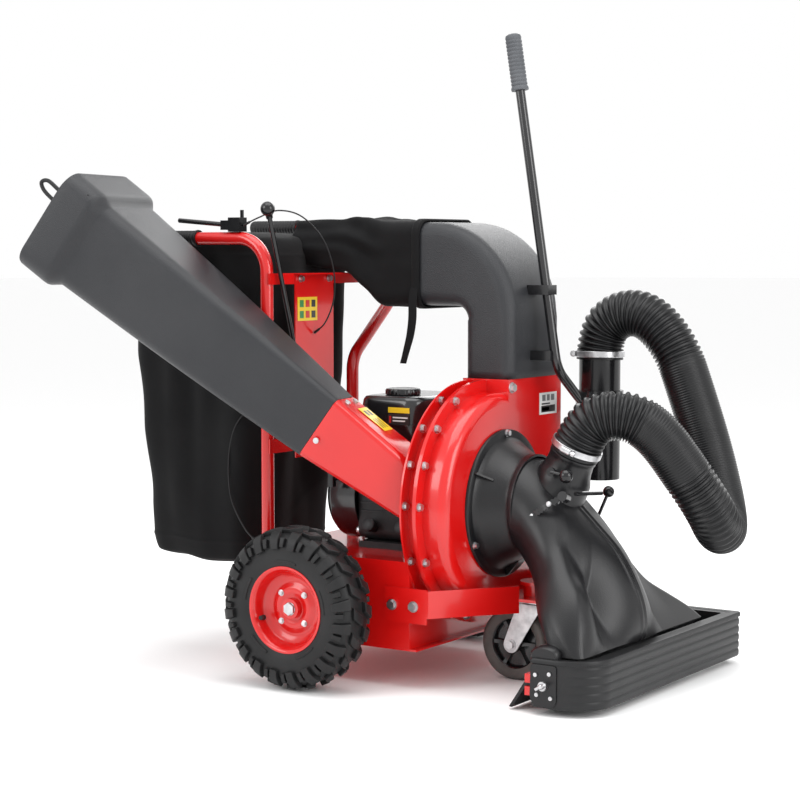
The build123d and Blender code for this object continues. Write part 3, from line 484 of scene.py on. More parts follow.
def make_rim(side, name):
    centre = (0, side * HALF_TRACK, AXLE_HEIGHT)
    out = Vector((0, side, 0))
    profile = [
        (-0.043, 0.0800), (-0.043, 0.0872), (-0.040, 0.0880), (-0.037, 0.0850), (-0.034, 0.0795),
        (-0.010, 0.0745), (0.030, 0.0785), (0.036, 0.0850), (0.040, 0.0882), (0.0432, 0.0875),
        (0.0436, 0.0840), (0.0400, 0.0800), (0.0340, 0.0765), (0.0200, 0.0735), (0.0140, 0.0700),
        (0.0110, 0.0620), (0.0070, 0.0560), (0.0080, 0.0500), (0.0130, 0.0440), (0.0150, 0.0380),
        (0.0140, 0.0300), (0.0110, 0.0250), (0.0120, 0.0215), (0.0250, 0.0200), (0.0252, 0.0132),
        (-0.0350, 0.0132), (-0.0350, 0.0200), (0.0060, 0.0215), (0.0100, 0.0380), (0.0030, 0.0500),
        (0.0030, 0.0580), (0.0080, 0.0700), (-0.0100, 0.0720), (-0.0320, 0.0770),
    ]
    parts = [lathe(profile, centre, out, 72, loop=True)]
    solid("dish_" + name, joined(parts), "red_paint", "wheel_" + name, angle=50, stands_for="rim_"
          + name)

    hub = Vector(centre)
    small = []
    for k in range(4):
        a = radians(45 + 90 * k)
        spot = hub + out * 0.0135 + Vector((cos(a), 0, sin(a))) * 0.040
        small.append(hexagon_bolt(spot, out, 0.0052, 0.004))
    solid("wheel_bolts_" + name, joined(small), "zinc_steel", "wheel_" + name, angle=30)
    a = radians(200)
    foot = hub + out * 0.022 + Vector((cos(a), 0, sin(a))) * 0.072
    lean = (out + Vector((-cos(a), 0, -sin(a))) * 0.5).normalized()
    stem = lathe([(0, 0.0055), (0.004, 0.0055), (0.006, 0.0038), (0.016, 0.0036), (0.0165, 0.0046),
                  (0.027, 0.0046), (0.028, 0.0036)], foot, lean, 16)
    solid("valve_" + name, stem, "black_rubber", "wheel_" + name, angle=35)


def make_caster_wheel():
    centre = CASTER_CENTRE
    tread = [(-0.016, 0.052), (-0.019, 0.060), (-0.0208, 0.067), (-0.0175, 0.0735), (-0.008, 0.0749),
             (0.008, 0.0749), (0.0175, 0.0735), (0.0208, 0.067), (0.019, 0.060), (0.016, 0.052)]
    tyre = solid("caster_tyre", lathe(tread, centre, (0, 1, 0), 72, loop=True), "caster_rubber",
                 "caster_roller", angle=60)
    hub = [(-0.0155, 0.0515), (-0.0165, 0.0535), (-0.0135, 0.0535), (0.0135, 0.0535), (0.0165, 0.0535),
           (0.0155, 0.0515), (0.010, 0.0475), (0.004, 0.0465), (0.004, 0.020), (0.018, 0.0165),
           (0.023, 0.0155), (0.023, 0.0061), (-0.023, 0.0061), (-0.023, 0.0155), (-0.018, 0.0165),
           (-0.004, 0.020), (-0.004, 0.0465), (-0.010, 0.0475)]
    parts = [lathe(hub, centre, (0, 1, 0), 64, loop=True)]
    for k in range(6):
        a = 2 * pi * k / 6
        radial = Vector((cos(a), 0, sin(a)))
        across = Vector((-sin(a), 0, cos(a)))
        rings = []
        for r, half, deep in ((0.015, 0.0045, 0.015), (0.030, 0.0032, 0.0105), (0.049, 0.004, 0.013)):
            p = Vector(centre) + radial * r
            rings.append([p + across * sx * half + Vector((0, sy * deep, 0)) for sx, sy in
                          ((1, 1), (-1, 1), (-1, -1), (1, -1))])
        parts.append(shut(rings))
    solid("caster_hub", joined(parts), "black_paint", "caster_roller")
    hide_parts("caster_wheel")


# ---------------------------------------------------------------- hose
HOSE_ROUTE = [(0.452, 0, 0.474), (0.476, 0, 0.527), (0.512, 0.008, 0.551), (0.566, 0.030, 0.550),
              (0.612, 0.056, 0.512), (0.654, 0.084, 0.440), (0.690, 0.120, 0.368),
              (0.692, 0.172, 0.312), (0.664, 0.252, 0.312), (0.634, 0.296, 0.370),
              (0.606, 0.296, 0.470), (0.568, 0.291, 0.585), (0.534, 0.289, 0.677),
              (0.472, 0.284, 0.744), (0.408, 0.281, 0.747), (0.361, 0.278, 0.705),
              (0.361, 0.277, 0.645)]


def spline_points(route):
    """The centreline of the route's own smooth spline."""
    data = bpy.data.curves.new("route", "CURVE")
    data.dimensions = "3D"
    spline = data.splines.new("NURBS")
    spline.points.add(len(route) - 1)
    for point, place in zip(spline.points, route):
        point.co = (*place, 1)
    spline.order_u = 3
    spline.use_endpoint_u = True
    data.resolution_u = 24
    holder = bpy.data.objects.new("route", data)
    mesh = bpy.data.meshes.new_from_object(holder)
    pts = [v.co.copy() for v in mesh.vertices]
    bpy.data.objects.remove(holder)
    bpy.data.meshes.remove(mesh)
    return pts


def walk(points, step):
    """Points an even distance apart along a line, with the distance walked."""
    out = [(points[0].copy(), 0.0)]
    done = 0.0
    target = step
    for a, b in zip(points, points[1:]):
        length = (b - a).length
        while done + length >= target:
            f = (target - done) / length
            out.append((a.lerp(b, f), target))
            target += step
        done += length
    return out


def step_up(x, low, high):
    """0 before low, 1 after high, and smooth between; it falls where low is the larger."""
    f = min(max((x - low) / (high - low), 0), 1)
    return f * f * (3 - 2 * f)


def make_hose():
    line = walk(spline_points(HOSE_ROUTE), 0.0013)
    total = line[-1][1]
    rings = []
    side = Y
    phase = 0.0
    last = 0.0
    n = 40
    for i, (p, s) in enumerate(line):
        a = line[max(i - 1, 0)][0]
        b = line[min(i + 1, len(line) - 1)][0]
        along = (b - a).normalized()
        side = (side - along * side.dot(along)).normalized()
        up = along.cross(side)
        f = s / total
        # open ribs round the bends, closed pleats between them
        open_rib = max(step_up(f, 0.01, 0.02) * step_up(f, 0.155, 0.135), step_up(f, 0.255, 0.275) *
                       step_up(f, 0.47, 0.43), step_up(f, 0.74, 0.77))
        stretched = step_up(f, 0.43, 0.48) * step_up(f, 0.77, 0.74)
        pitch = 0.0052 + 0.0062 * open_rib
        phase += 2 * pi * (s - last) / pitch
        last = s
        depth = 0.0009 + 0.0020 * open_rib - 0.0003 * stretched
        wave = cos(phase)
        shape = copysign(abs(wave) ** 0.55, wave)
        end = min(s, total - s)
        if end < 0.020:
            depth *= 0.15
        radius = 0.0498 - depth + depth * shape
        rings.append([p + (side * cos(2 * pi * k / n) + up * sin(2 * pi * k / n)) * radius
                      for k in range(n)])
    inner = []
    for ring, (p, s) in zip((rings[0], rings[-1]), (line[0], line[-1])):
        inner.append([p + (q - p) * 0.93 for q in ring])
    verts, faces = skin_rings([inner[0]] + rings + [inner[1]])
    obj = solid("hose_ribbed", (verts, faces), "hose_plastic", angle=80)
    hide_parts("suction_hose")
    return line


def make_clamp(name, centre, along, screw_side):
    """A worm-drive band with its screw housing."""
    along = Vector(along).normalized()
    centre = Vector(centre)
    band = [(-0.0065, 0.0503), (-0.0065, 0.0520), (-0.0058, 0.0528), (0.0058, 0.0528), (0.0065, 0.0520),
            (0.0065, 0.0503)]
    parts = [lathe(band, centre, along, 72, loop=True)]
    out = Vector(screw_side)
    out = (out - along * out.dot(along)).normalized()
    across = along.cross(out)
    seat = centre + out * 0.0575
    rings = []
    for t in (-0.010, 0.010):
        ring = []
        for k in range(16):
            a = 2 * pi * k / 16
            flat = 0.0068 if sin(a) > -0.3 else 0.0074
            ring.append(seat + across * t + along * cos(a) * flat + out * max(sin(a), -0.75) * 0.0062)
        rings.append(ring)
    parts.append(shut(rings))
    parts.append(lathe([(0, 0.0035), (0.004, 0.0035)], seat + across * 0.010, across, 12))
    parts.append(shut([circle_points(seat + across * d, across, r, 6) for d, r in
                             ((0.013, 0.0052), (0.019, 0.0052), (0.0198, 0.0044))]))
    notches = []
    for k in range(20):
        a = 0.35 + k * 0.055
        p = centre + (out * cos(a) + across * sin(a)) * 0.0526
        radial = (out * cos(a) + across * sin(a))
        tang = (-out * sin(a) + across * cos(a))
        ring = [[p + along * s * 0.0045 + tang * (t * 0.0007 + s * 0.0005) + radial * h for t, h in
                 ((-1, 0.0), (-1, 0.0007), (1, 0.0007), (1, 0.0))] for s in (-1, 1)]
        notches.append(shut(ring))
    obj = solid(name, joined(parts + notches), "zinc_steel", angle=35)
    return obj


def make_clamps():
    start, nxt = Vector(HOSE_ROUTE[0]), Vector(HOSE_ROUTE[1])
    along = (nxt - start).normalized()
    lower = make_clamp("clamp_nozzle", start + along * 0.0125, along, (0.3, -1, 0.4))
    end, before = Vector(HOSE_ROUTE[-1]), Vector(HOSE_ROUTE[-2])
    back = (before - end).normalized()
    make_clamp("clamp_wander", end + back * 0.0125, back, (-0.85, -0.5, 0))
    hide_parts("hose_clamps")


# ---------------------------------------------------------------- nozzle
def bump_shape(y, centre, half, power=2.0):
    """A round hump: 1 at the centre, 0 from half on; a power of 1 leaves a crease there."""
    away = min(abs(y - centre) / half, 1)
    return (1 - away * away) ** power


def duct_ring(x, z, tilt, right, left, height, radius, crown, lobe, thin):
    """A section of the duct: a tube in the middle, a lobe on the right, a flat wing on the left."""
    turn = radians(tilt)
    up = Vector((sin(turn), 0, cos(turn)))
    ring = rounded_ring(Vector(), X, Y, left + right, height, radius, 10, 120)
    out = []
    for p in ring:
        y = p.x + (left - right) / 2
        v = p.y
        if v > 0:
            share = v / (height / 2)
            v += share * crown * bump_shape(y, 0.004, 0.104, 1.05)
            v += share * lobe * bump_shape(y, -right + 0.052, 0.058, 1.15)
            v -= share * thin * step_up(y, 0.10, 0.20)
            seam = bump_shape(y, -0.004, 0.0065) + bump_shape(y, 0.012, 0.0065)
            v += share * 0.0026 * seam * min(crown / 0.01, 1)
        out.append(Vector((x, y, z)) + up * v)
    return out


DUCT = [
    # station, x, z, tilt, right half, left half, height, corner radius, crown, lobe, wing's thinning
    (0.0, 0.355, 0.361, 0, 0.103, 0.103, 0.206, 0.1028, 0.000, 0.000, 0.000),
    (1.0, 0.386, 0.337, 10, 0.105, 0.104, 0.184, 0.0900, 0.002, 0.000, 0.000),
    (2.0, 0.420, 0.300, 22, 0.116, 0.108, 0.144, 0.0700, 0.012, 0.000, 0.000),
    (3.0, 0.450, 0.262, 34, 0.138, 0.120, 0.108, 0.0520, 0.032, 0.000, 0.004),
    (4.0, 0.480, 0.222, 46, 0.178, 0.158, 0.084, 0.0400, 0.050, 0.012, 0.010),
    (5.0, 0.506, 0.186, 57, 0.212, 0.206, 0.066, 0.0310, 0.056, 0.032, 0.012),
    (6.0, 0.530, 0.155, 68, 0.231, 0.252, 0.060, 0.0240, 0.048, 0.030, 0.008),
    (7.0, 0.549, 0.130, 80, 0.239, 0.286, 0.062, 0.0200, 0.030, 0.018, 0.003),
    (8.0, 0.561, 0.110, 89, 0.241, 0.303, 0.074, 0.0160, 0.006, 0.004, 0.000),
]


def make_nozzle():
    rings = []
    steps = 80
    for i in range(steps + 1):
        x, z, tilt, right, left, h, r, crown, lobe, thin = mixed(DUCT, 8.0 * i / steps)
        rings.append(duct_ring(x, z, tilt, right, left, h, min(r, h / 2 - 1e-4), max(crown, 0),
                               max(lobe, 0), max(thin, 0)))
    verts, faces = skin_rings(rings)

    def under_port(face):
        middle = sum((verts[i] for i in face), Vector()) / len(face) - PORT_START
        rise = middle.dot(PORT_ALONG)
        return rise > 0 and (middle - PORT_ALONG * rise).length < 0.0435

    faces = [face for face in faces if not under_port(face)]
    obj = solid("duct_shell", (verts, faces), "nozzle_plastic", angle=60)
    wall(obj, 0.0035)
    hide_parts("nozzle_duct")

    profile = [(0.000, 0.1515), (0.0055, 0.1515), (0.0070, 0.1500), (0.0072, 0.1375), (0.0085, 0.1345),
               (0.020, 0.1265), (0.040, 0.1140), (0.060, 0.1035), (0.068, 0.1025), (0.073, 0.1045),
               (0.0785, 0.1045), (0.0790, 0.1000), (0.060, 0.0985), (0.040, 0.1085), (0.020, 0.1210),
               (0.000, 0.1310)]
    cone = solid("cone_shell", lathe(profile, (0.287, 0, FAN_HEIGHT), (1, 0, 0), 96, loop=True),
                 "nozzle_plastic", angle=50)
    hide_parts("inlet_cone")

    # webs between the cone's flange and its body
    ribs = []
    for degrees in (60, 180, 300):
        a = radians(degrees)
        radial = Vector((0, -sin(a), cos(a)))
        tang = Vector((0, cos(a), sin(a)))
        base = Vector((0.294, 0, FAN_HEIGHT))
        rings = []
        for half in (-0.002, 0.002):
            rings.append([base + radial * r + Vector((d, 0, 0)) + tang * half for d, r in
                          ((0, 0.125), (0, 0.148), (0.006, 0.147), (0.030, 0.119), (0.030, 0.110))])
        ribs.append(shut(rings))
    solid("cone_webs", joined(ribs), "nozzle_plastic", angle=35)


PORT_START = Vector((0.404, 0, 0.369))
PORT_ALONG = (Vector(HOSE_ROUTE[1]) - Vector(HOSE_ROUTE[0])).normalized()


def make_port():
    """The hose's port: a flared collar that grows out of the duct, with a turned-over edge."""
    profile = [(0.018, 0.0575), (0.050, 0.0572), (0.060, 0.0560), (0.068, 0.0530), (0.076, 0.0500),
               (0.084, 0.0482), (0.096, 0.0470), (0.104, 0.0470), (0.106, 0.0485), (0.111, 0.0485),
               (0.113, 0.0460), (0.1335, 0.0458), (0.1342, 0.0450), (0.1342, 0.0422), (0.110, 0.0420),
               (0.018, 0.0420)]
    solid("port_collar", lathe(profile, PORT_START, PORT_ALONG, 80, loop=True), "nozzle_plastic",
          angle=50, stands_for="hose_port")

    # notched strip and its bracket beside the two levers
    start, end = Vector((0.404, -0.094, 0.349)), Vector((0.470, -0.078, 0.394))
    run = end - start
    along = run.normalized()
    out = Vector((0.15, -0.95, 0.25)).normalized()
    across = along.cross(out).normalized()
    teeth = 11
    rings = []
    for k in range(2 * teeth + 1):
        f = k / (2 * teeth)
        wide = 0.0085 if k % 2 == 0 else 0.0050
        p = start + run * f + out * 0.010 * sin(pi * f)
        rings.append([p + across * a * wide + out * b * 0.002
                      for a, b in ((1, 1), (-0.8, 1), (-0.8, -1), (1, -1))])
    strip = shut(rings)
    block = tube_along([end + out * -0.018, end + out * 0.008], 0.010, 16)
    stalk = tube_along([start + out * -0.020, start + out * 0.004], 0.006, 12)
    pad = tube_along([end + Vector((0.020, 0.012, 0.006)), end + Vector((0.034, 0.095, 0.000))],
                     0.0045, 10)
    solid("notched_strip", joined([strip, block, stalk, pad]), "black_paint", angle=30)
    nuts = [hexagon_bolt(start + run * f + out * (0.002 + 0.010 * sin(pi * f)), out, 0.0042, 0.003)
            for f in (0.08, 0.62)]
    solid("strip_nuts", joined(nuts), "zinc_steel", angle=30)


def skirt_outline(inset, z, groove=0.0):
    low_x, high_x, low_y, high_y = 0.500 + inset, 0.637 - inset, -0.265 + inset, 0.410 - inset
    corners = ((high_x, low_y, 0.078 - inset, -90), (high_x, high_y, 0.010, 0),
               (low_x, high_y, 0.008, 90), (low_x, low_y, 0.008, 180))
    pts = []
    arcs = []
    for x, y, r, start in corners:
        r = max(r, 0.003)
        cx = x - r if x == high_x else x + r
        cy = y - r if y == high_y else y + r
        arc = []
        for k in range(13):
            a = radians(start + 90 * k / 12)
            fade = max(cos(a), 0) ** 0.7
            arc.append(Vector((cx + r * cos(a) - groove * fade, cy + r * sin(a), z)))
        arcs.append(arc)
    for i, arc in enumerate(arcs):
        pts.extend(arc)
        nxt = arcs[(i + 1) % 4][0]
        here = arc[-1]
        for k in range(1, 8):
            pts.append(here.lerp(nxt, k / 8))
    return pts


def make_skirt():
    levels = []
    ribs = 5
    low, high = 0.016, 0.098
    pitch = (high - low) / ribs
    levels.append((0.030, 0.0145))
    levels.append((0.004, 0.0145))
    for k in range(ribs):
        z0 = low + k * pitch
        levels += [(0.0024, z0 + 0.0005, 0.0), (0.0024, z0 + pitch * 0.16, -0.0009),
                   (0.0024, z0 + pitch * 0.60, -0.0012), (0.0024, z0 + pitch * 0.80, -0.0002),
                   (0.0024, z0 + pitch * 0.87, 0.0008), (0.0024, z0 + pitch * 0.95, 0.0008)]
    levels += [(0.0024, 0.0990), (0.0, 0.1000), (0.0, 0.1068), (0.0016, 0.1088), (0.015, 0.1088),
               (0.017, 0.1072), (0.031, 0.1072)]
    rings = [skirt_outline(*level) for level in levels]
    solid("skirt_ribbed", skin_rings(rings, loop=True), "skirt_rubber", angle=45, stands_for="skirt")

    # end plate on the right, D-shaped, behind the screws
    outline = []
    for x, z, r, first in ((0.553, 0.092, 0.006, 0), (0.510, 0.092, 0.006, 90), (0.522, 0.038, 0.020, 180),
                           (0.545, 0.032, 0.014, 270)):
        outline += [(x + r * cos(radians(first + 15 * k)), z + r * sin(radians(first + 15 * k)))
                    for k in range(7)]
    rings = [[Vector((x, y, z)) for x, z in outline] for y in (-0.2615, -0.2650)]
    solid("skirt_end_plate", shut(rings), "nozzle_plastic", angle=30)

    # rounded block on the lip beside the duct's right end
    profile = []
    for k in range(13):
        a = radians(180 * k / 12)
        profile.append((0.528 - 0.030 * cos(a), 0.112 + 0.020 * sin(a) ** 0.7))
    profile = [(0.498, 0.100)] + profile + [(0.558, 0.100)]
    rings = []
    for y, squeeze in ((-0.2595, 0.86), (-0.2560, 0.97), (-0.2400, 1.0), (-0.2300, 1.0)):
        rings.append([Vector((0.528 + (x - 0.528) * squeeze, y, 0.100 + (z - 0.100) * squeeze))
                      for x, z in profile])
    solid("skirt_end_block", shut(rings), "nozzle_plastic", angle=50)


# ---------------------------------------------------------------- chipper
JOINT = Vector((0.025, -0.256, 0.525))
MOUTH = Vector((-0.538, -0.379, 0.944))
HOPPER_AXIS = (MOUTH - JOINT).normalized()
HOPPER_LENGTH = (MOUTH - JOINT).length
HOPPER_SIDE = Vector((-HOPPER_AXIS.y, HOPPER_AXIS.x, 0)).normalized()
HOPPER_UP = HOPPER_AXIS.cross(HOPPER_SIDE)


def hopper_ring(distance, w, h, r):
    return rounded_ring(JOINT + HOPPER_AXIS * distance, HOPPER_SIDE, HOPPER_UP, w, h, r, 10, 10)


def make_hopper():
    end = HOPPER_LENGTH
    body = end - 0.100
    rows = []
    for k in range(25):
        f = k / 24
        bulge = 0.004 * sin(pi * f)
        rows.append((0.001 + (body - 0.002) * f, 0.100 + 0.132 * f + bulge, 0.141 + 0.055 * f + bulge,
                     0.014 + 0.022 * f))
    rows += [(body + 0.003, 0.234, 0.198, 0.036), (body + 0.012, 0.250, 0.211, 0.039),
             (body + 0.019, 0.263, 0.222, 0.042), (body + 0.024, 0.2675, 0.226, 0.043),
             (body + 0.032, 0.2690, 0.2272, 0.043), (end - 0.020, 0.2698, 0.2279, 0.043),
             (end - 0.004, 0.2698, 0.2279, 0.043), (end - 0.0008, 0.2675, 0.2255, 0.042),
             (end - 0.0002, 0.264, 0.222, 0.040)]
    outer = [hopper_ring(*row) for row in rows]
    inner = [hopper_ring(d, w - 0.010, h - 0.010, max(r - 0.005, 0.004))
             for d, w, h, r in reversed(rows)]
    solid("hopper_shell", skin_rings(outer + inner, loop=True), "charcoal_plastic", angle=60,
          stands_for="hopper")

    # rubber curtain inside the mouth, cut into strips
    strips = []
    count = 5
    for layer, depth in enumerate((0.052, 0.058)):
        for k in range(count):
            w = 0.250 / count
            u0 = -0.125 + k * w + (0.012 if layer else 0)
            u1 = min(u0 + w * 0.96, 0.125)
            rings = []
            for j in range(7):
                v = 0.100 - 0.196 * j / 6
                inset = depth + 0.010 * sin(k * 1.7 + layer) * (j / 6) ** 2
                lo = max(u0, -0.1255)
                rings.append([JOINT + HOPPER_AXIS * (HOPPER_LENGTH - inset - t) + HOPPER_SIDE * u
                              + HOPPER_UP * v for u, t in ((lo, 0), (u1, 0), (u1, 0.0025),
                                                           (lo, 0.0025))])
            strips.append(shut(rings))
    solid("mouth_curtain", joined(strips), "black_rubber", angle=35)

    # small loop handle inside the mouth, on the wall that faces the operator's right
    base = MOUTH + HOPPER_SIDE * 0.118
    steps = ((-0.035, 0.040), (0.006, 0.042), (0.034, 0.046), (0.047, 0.056), (0.036, 0.067),
             (0.006, 0.066), (-0.035, 0.064))
    loop = smooth_path([base + HOPPER_AXIS * out + HOPPER_UP * up for out, up in steps], 60)
    solid("curtain_loop", tube_along(loop, 0.0042, 12), "black_rubber", angle=60)


# ---------------------------------------------------------------- elbow
def elbow_section(inner, outer, r):
    inner, outer = Vector(inner), Vector(outer)
    mid = (inner + outer) / 2
    up = (outer - inner)
    height = up.length
    centre = Vector((mid.x, ELBOW_Y, mid.y))
    return rounded_ring(centre, Y, Vector((up.x, 0, up.y)).normalized(), 0.216, height, r, 8, 8)


def make_elbow():
    rings = []
    for k in range(9):
        z = 0.6135 + (0.737 - 0.6135) * k / 8
        rings.append(elbow_section((0.177, min(z, 0.732)), (0.290, z), 0.026))
    for k in range(1, 25):
        a = radians(90 * k / 24)
        inner = (0.147 + 0.030 * cos(a), 0.732 + 0.030 * sin(a))
        outer = (0.095 + 0.195 * cos(a), 0.742 + 0.195 * sin(a))
        rings.append(elbow_section(inner, outer, 0.030))
    for k in range(1, 9):
        x = 0.095 + (-0.0095 - 0.095) * k / 8
        inner_x = 0.147 + (-0.0095 - 0.147) * k / 8
        rings.append(elbow_section((inner_x, 0.762), (x, 0.937), 0.030))
    obj = solid("elbow_shell", skin_rings(rings), "charcoal_plastic", angle=60)
    wall(obj, 0.004)
    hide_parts("elbow")


# ---------------------------------------------------------------- bag
BAG_BOTTOM, BAG_TOP = 0.204, 0.915


def make_bag():
    rows = []
    levels = 150
    table = [
        # height, centre x, centre y, width along x, width along y, corner radius
        (0.204, -0.400, 0.005, 0.215, 0.250, 0.035),
        (0.212, -0.400, 0.005, 0.262, 0.296, 0.045),
        (0.245, -0.400, 0.005, 0.284, 0.312, 0.050),
        (0.320, -0.399, 0.005, 0.300, 0.322, 0.055),
        (0.500, -0.397, 0.005, 0.330, 0.334, 0.055),
        (0.700, -0.395, 0.005, 0.362, 0.344, 0.055),
        (0.845, -0.395, 0.005, 0.388, 0.352, 0.055),
        (0.888, -0.395, 0.005, 0.386, 0.350, 0.060),
        (0.906, -0.395, 0.005, 0.366, 0.332, 0.060),
        (0.915, -0.395, 0.005, 0.300, 0.270, 0.060),
    ]
    for i in range(levels + 1):
        f = i / levels
        z = BAG_BOTTOM + (BAG_TOP - BAG_BOTTOM) * f
        cx, cy, w, d, r = mixed(table, z)
        ring = rounded_ring(Vector((cx, cy, z)), X, Y, w, d, min(r, w / 2 - 1e-3),
                            10, 26)
        out = []
        n = len(ring)
        for k, p in enumerate(ring):
            radial = Vector((p.x - cx, p.y - cy, 0))
            radial.normalize()
            a = atan2(p.y - cy, p.x - cx)
            hang = sin(pi * min(max((z - 0.21) / 0.68, 0), 1))
            folds = noise.noise(Vector((cos(a) * 2.6, sin(a) * 2.6, z * 1.6))) * 0.021 * (0.35 + hang)
            fine = noise.noise(Vector((p.x * 16, p.y * 16, z * 7))) * 0.007
            crease = -abs(noise.noise(Vector((p.x * 7 + z * 5, p.y * 7 - z * 4, 3.1)))) * 0.007
            belly = -0.008 * sin(4 * a) * hang
            hem = 0.0022 * bump_shape(z, 0.252, 0.004) + 0.0018 * bump_shape(z, 0.868, 0.004)
            p = p + radial * (folds + fine + crease + belly + hem)
            p.z += noise.noise(Vector((cos(a) * 1.5, sin(a) * 1.5, 7.7))) * 0.012 * (1 - f) ** 3
            out.append(p)
        rows.append(out)
    verts, faces = skin_rings(rows)
    n = len(rows[0])
    for index, ring in ((0, rows[0]), (levels, rows[-1])):
        mid = sum(ring, Vector()) / n
        level_rings = []
        for j in (1, 2, 3, 4):
            f = 1 - j / 5
            start = len(verts)
            for k, p in enumerate(ring):
                q = mid + (p - mid) * f
                sag = -0.004 if index == 0 else 0.0
                q.z += noise.noise(Vector((q.x * 14, q.y * 14, index))) * 0.006 + sag
                q.z = min(q.z, 0.9172)
                verts.append(q)
            level_rings.append(start)
        before = index * n
        for start in level_rings:
            for k in range(n):
                faces.append((before + k, before + (k + 1) % n, start + (k + 1) % n, start + k))
            before = start
        centre_index = len(verts)
        verts.append(mid)
        for k in range(n):
            faces.append((before + k, before + (k + 1) % n, centre_index))
    obj = solid("bag_cloth", (verts, faces), "bag_fabric", angle=180)
    modifier(obj, "SUBSURF", levels=1, render_levels=1)
    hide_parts("bag")

    # the neck, pulled over the elbow's end and drawn in towards the bag
    table = [
        # x, centre y, centre z, width, height, radius
        (0.000, 0.075, 0.892, 0.200, 0.092, 0.035),
        (0.060, 0.085, 0.890, 0.200, 0.100, 0.035),
        (0.110, 0.100, 0.888, 0.204, 0.108, 0.036),
        (0.150, 0.115, 0.872, 0.216, 0.146, 0.034),
        (0.190, 0.125, 0.852, 0.222, 0.180, 0.032),
        (0.230, 0.127, 0.8495, 0.224, 0.183, 0.032),
        (0.275, 0.127, 0.8495, 0.225, 0.184, 0.032),
        (0.300, 0.127, 0.8495, 0.225, 0.184, 0.032),
    ]
    rings = []
    for i in range(61):
        t = 0.300 * i / 60
        cy, cz, w, h, r = mixed(table, t)
        x = -0.230 + t
        ring = rounded_ring(Vector((x, cy, cz)), Y, Z, w, h, r, 8, 16)
        out = []
        for p in ring:
            radial = Vector((0, p.y - cy, p.z - cz)).normalized()
            a = atan2(p.z - cz, p.y - cy)
            loose = 1 - min(max((t - 0.16) / 0.06, 0), 1) * 0.85
            pleat = noise.noise(Vector((cos(a) * 4, sin(a) * 4, x * 7))) * 0.014 * loose
            fine = noise.noise(Vector((x * 30, p.y * 18, p.z * 18))) * 0.004 * loose
            q = p + radial * (pleat + fine)
            out.append(q)
        rings.append(out)
    neck = solid("bag_neck", skin_rings(rings), "bag_fabric", angle=180)
    wall(neck, 0.0018)

    # hem where the neck is tied round the elbow, and its hanging strap
    hem = []
    for x, rise in ((0.052, 0.0012), (0.0545, 0.0030), (0.0685, 0.0030), (0.071, 0.0012),
                    (0.071, -0.001), (0.052, -0.001)):
        hem.append(rounded_ring(Vector((x, ELBOW_Y, OUTLET_HEIGHT)), Y, Z, 0.225 + 2 * rise,
                                0.184 + 2 * rise, 0.033, 8, 16))
    solid("neck_hem", skin_rings(hem, loop=True), "bag_fabric")
    strap_path = smooth_path([(0.060, 0.012, 0.800), (0.060, 0.006, 0.772), (0.062, 0.002, 0.735),
                              (0.058, 0.000, 0.700), (0.050, -0.002, 0.668), (0.042, -0.003, 0.640)],
                             40)
    rings = []
    for i, p in enumerate(strap_path):
        twist = 0.25 * sin(i * 0.12)
        across = Vector((cos(twist), sin(twist), 0))
        out = Vector((-across.y, across.x, 0))
        rings.append([p + across * sx * 0.009 + out * sy * 0.0009
                      for sx, sy in ((1, 1), (-1, 1), (-1, -1), (1, -1))])
    solid("neck_strap", shut(rings), "bag_fabric")


# ---------------------------------------------------------------- labels
FILM = 0.0007


def label(name, corner, u, v, mat, marks):
    """A thin printed film from a corner along u and v, with marks (u0, v0, u1, v1, material)."""
    corner, u, v = Vector(corner), Vector(u), Vector(v)
    out = u.cross(v).normalized()
    ring = [corner, corner + u, corner + u + v, corner + v]
    rings = [ring, [p + out * FILM for p in ring]]
    solid(name, shut(rings), "gloss_plastic", mat=mat, smooth=False)
    groups = {}
    for u0, v0, u1, v1, ink in marks:
        quad = [corner + u * a + v * b + out * FILM
                for a, b in ((u0, v0), (u1, v0), (u1, v1), (u0, v1))]
        rings = [quad, [p + out * 0.0003 for p in quad]]
        groups.setdefault(ink.name, []).append(shut(rings))
    for index, (ink_name, parts) in enumerate(sorted(groups.items())):
        solid(f"{name}_{index}", joined(parts), "gloss_plastic", mat=bpy.data.materials[ink_name],
              smooth=False)


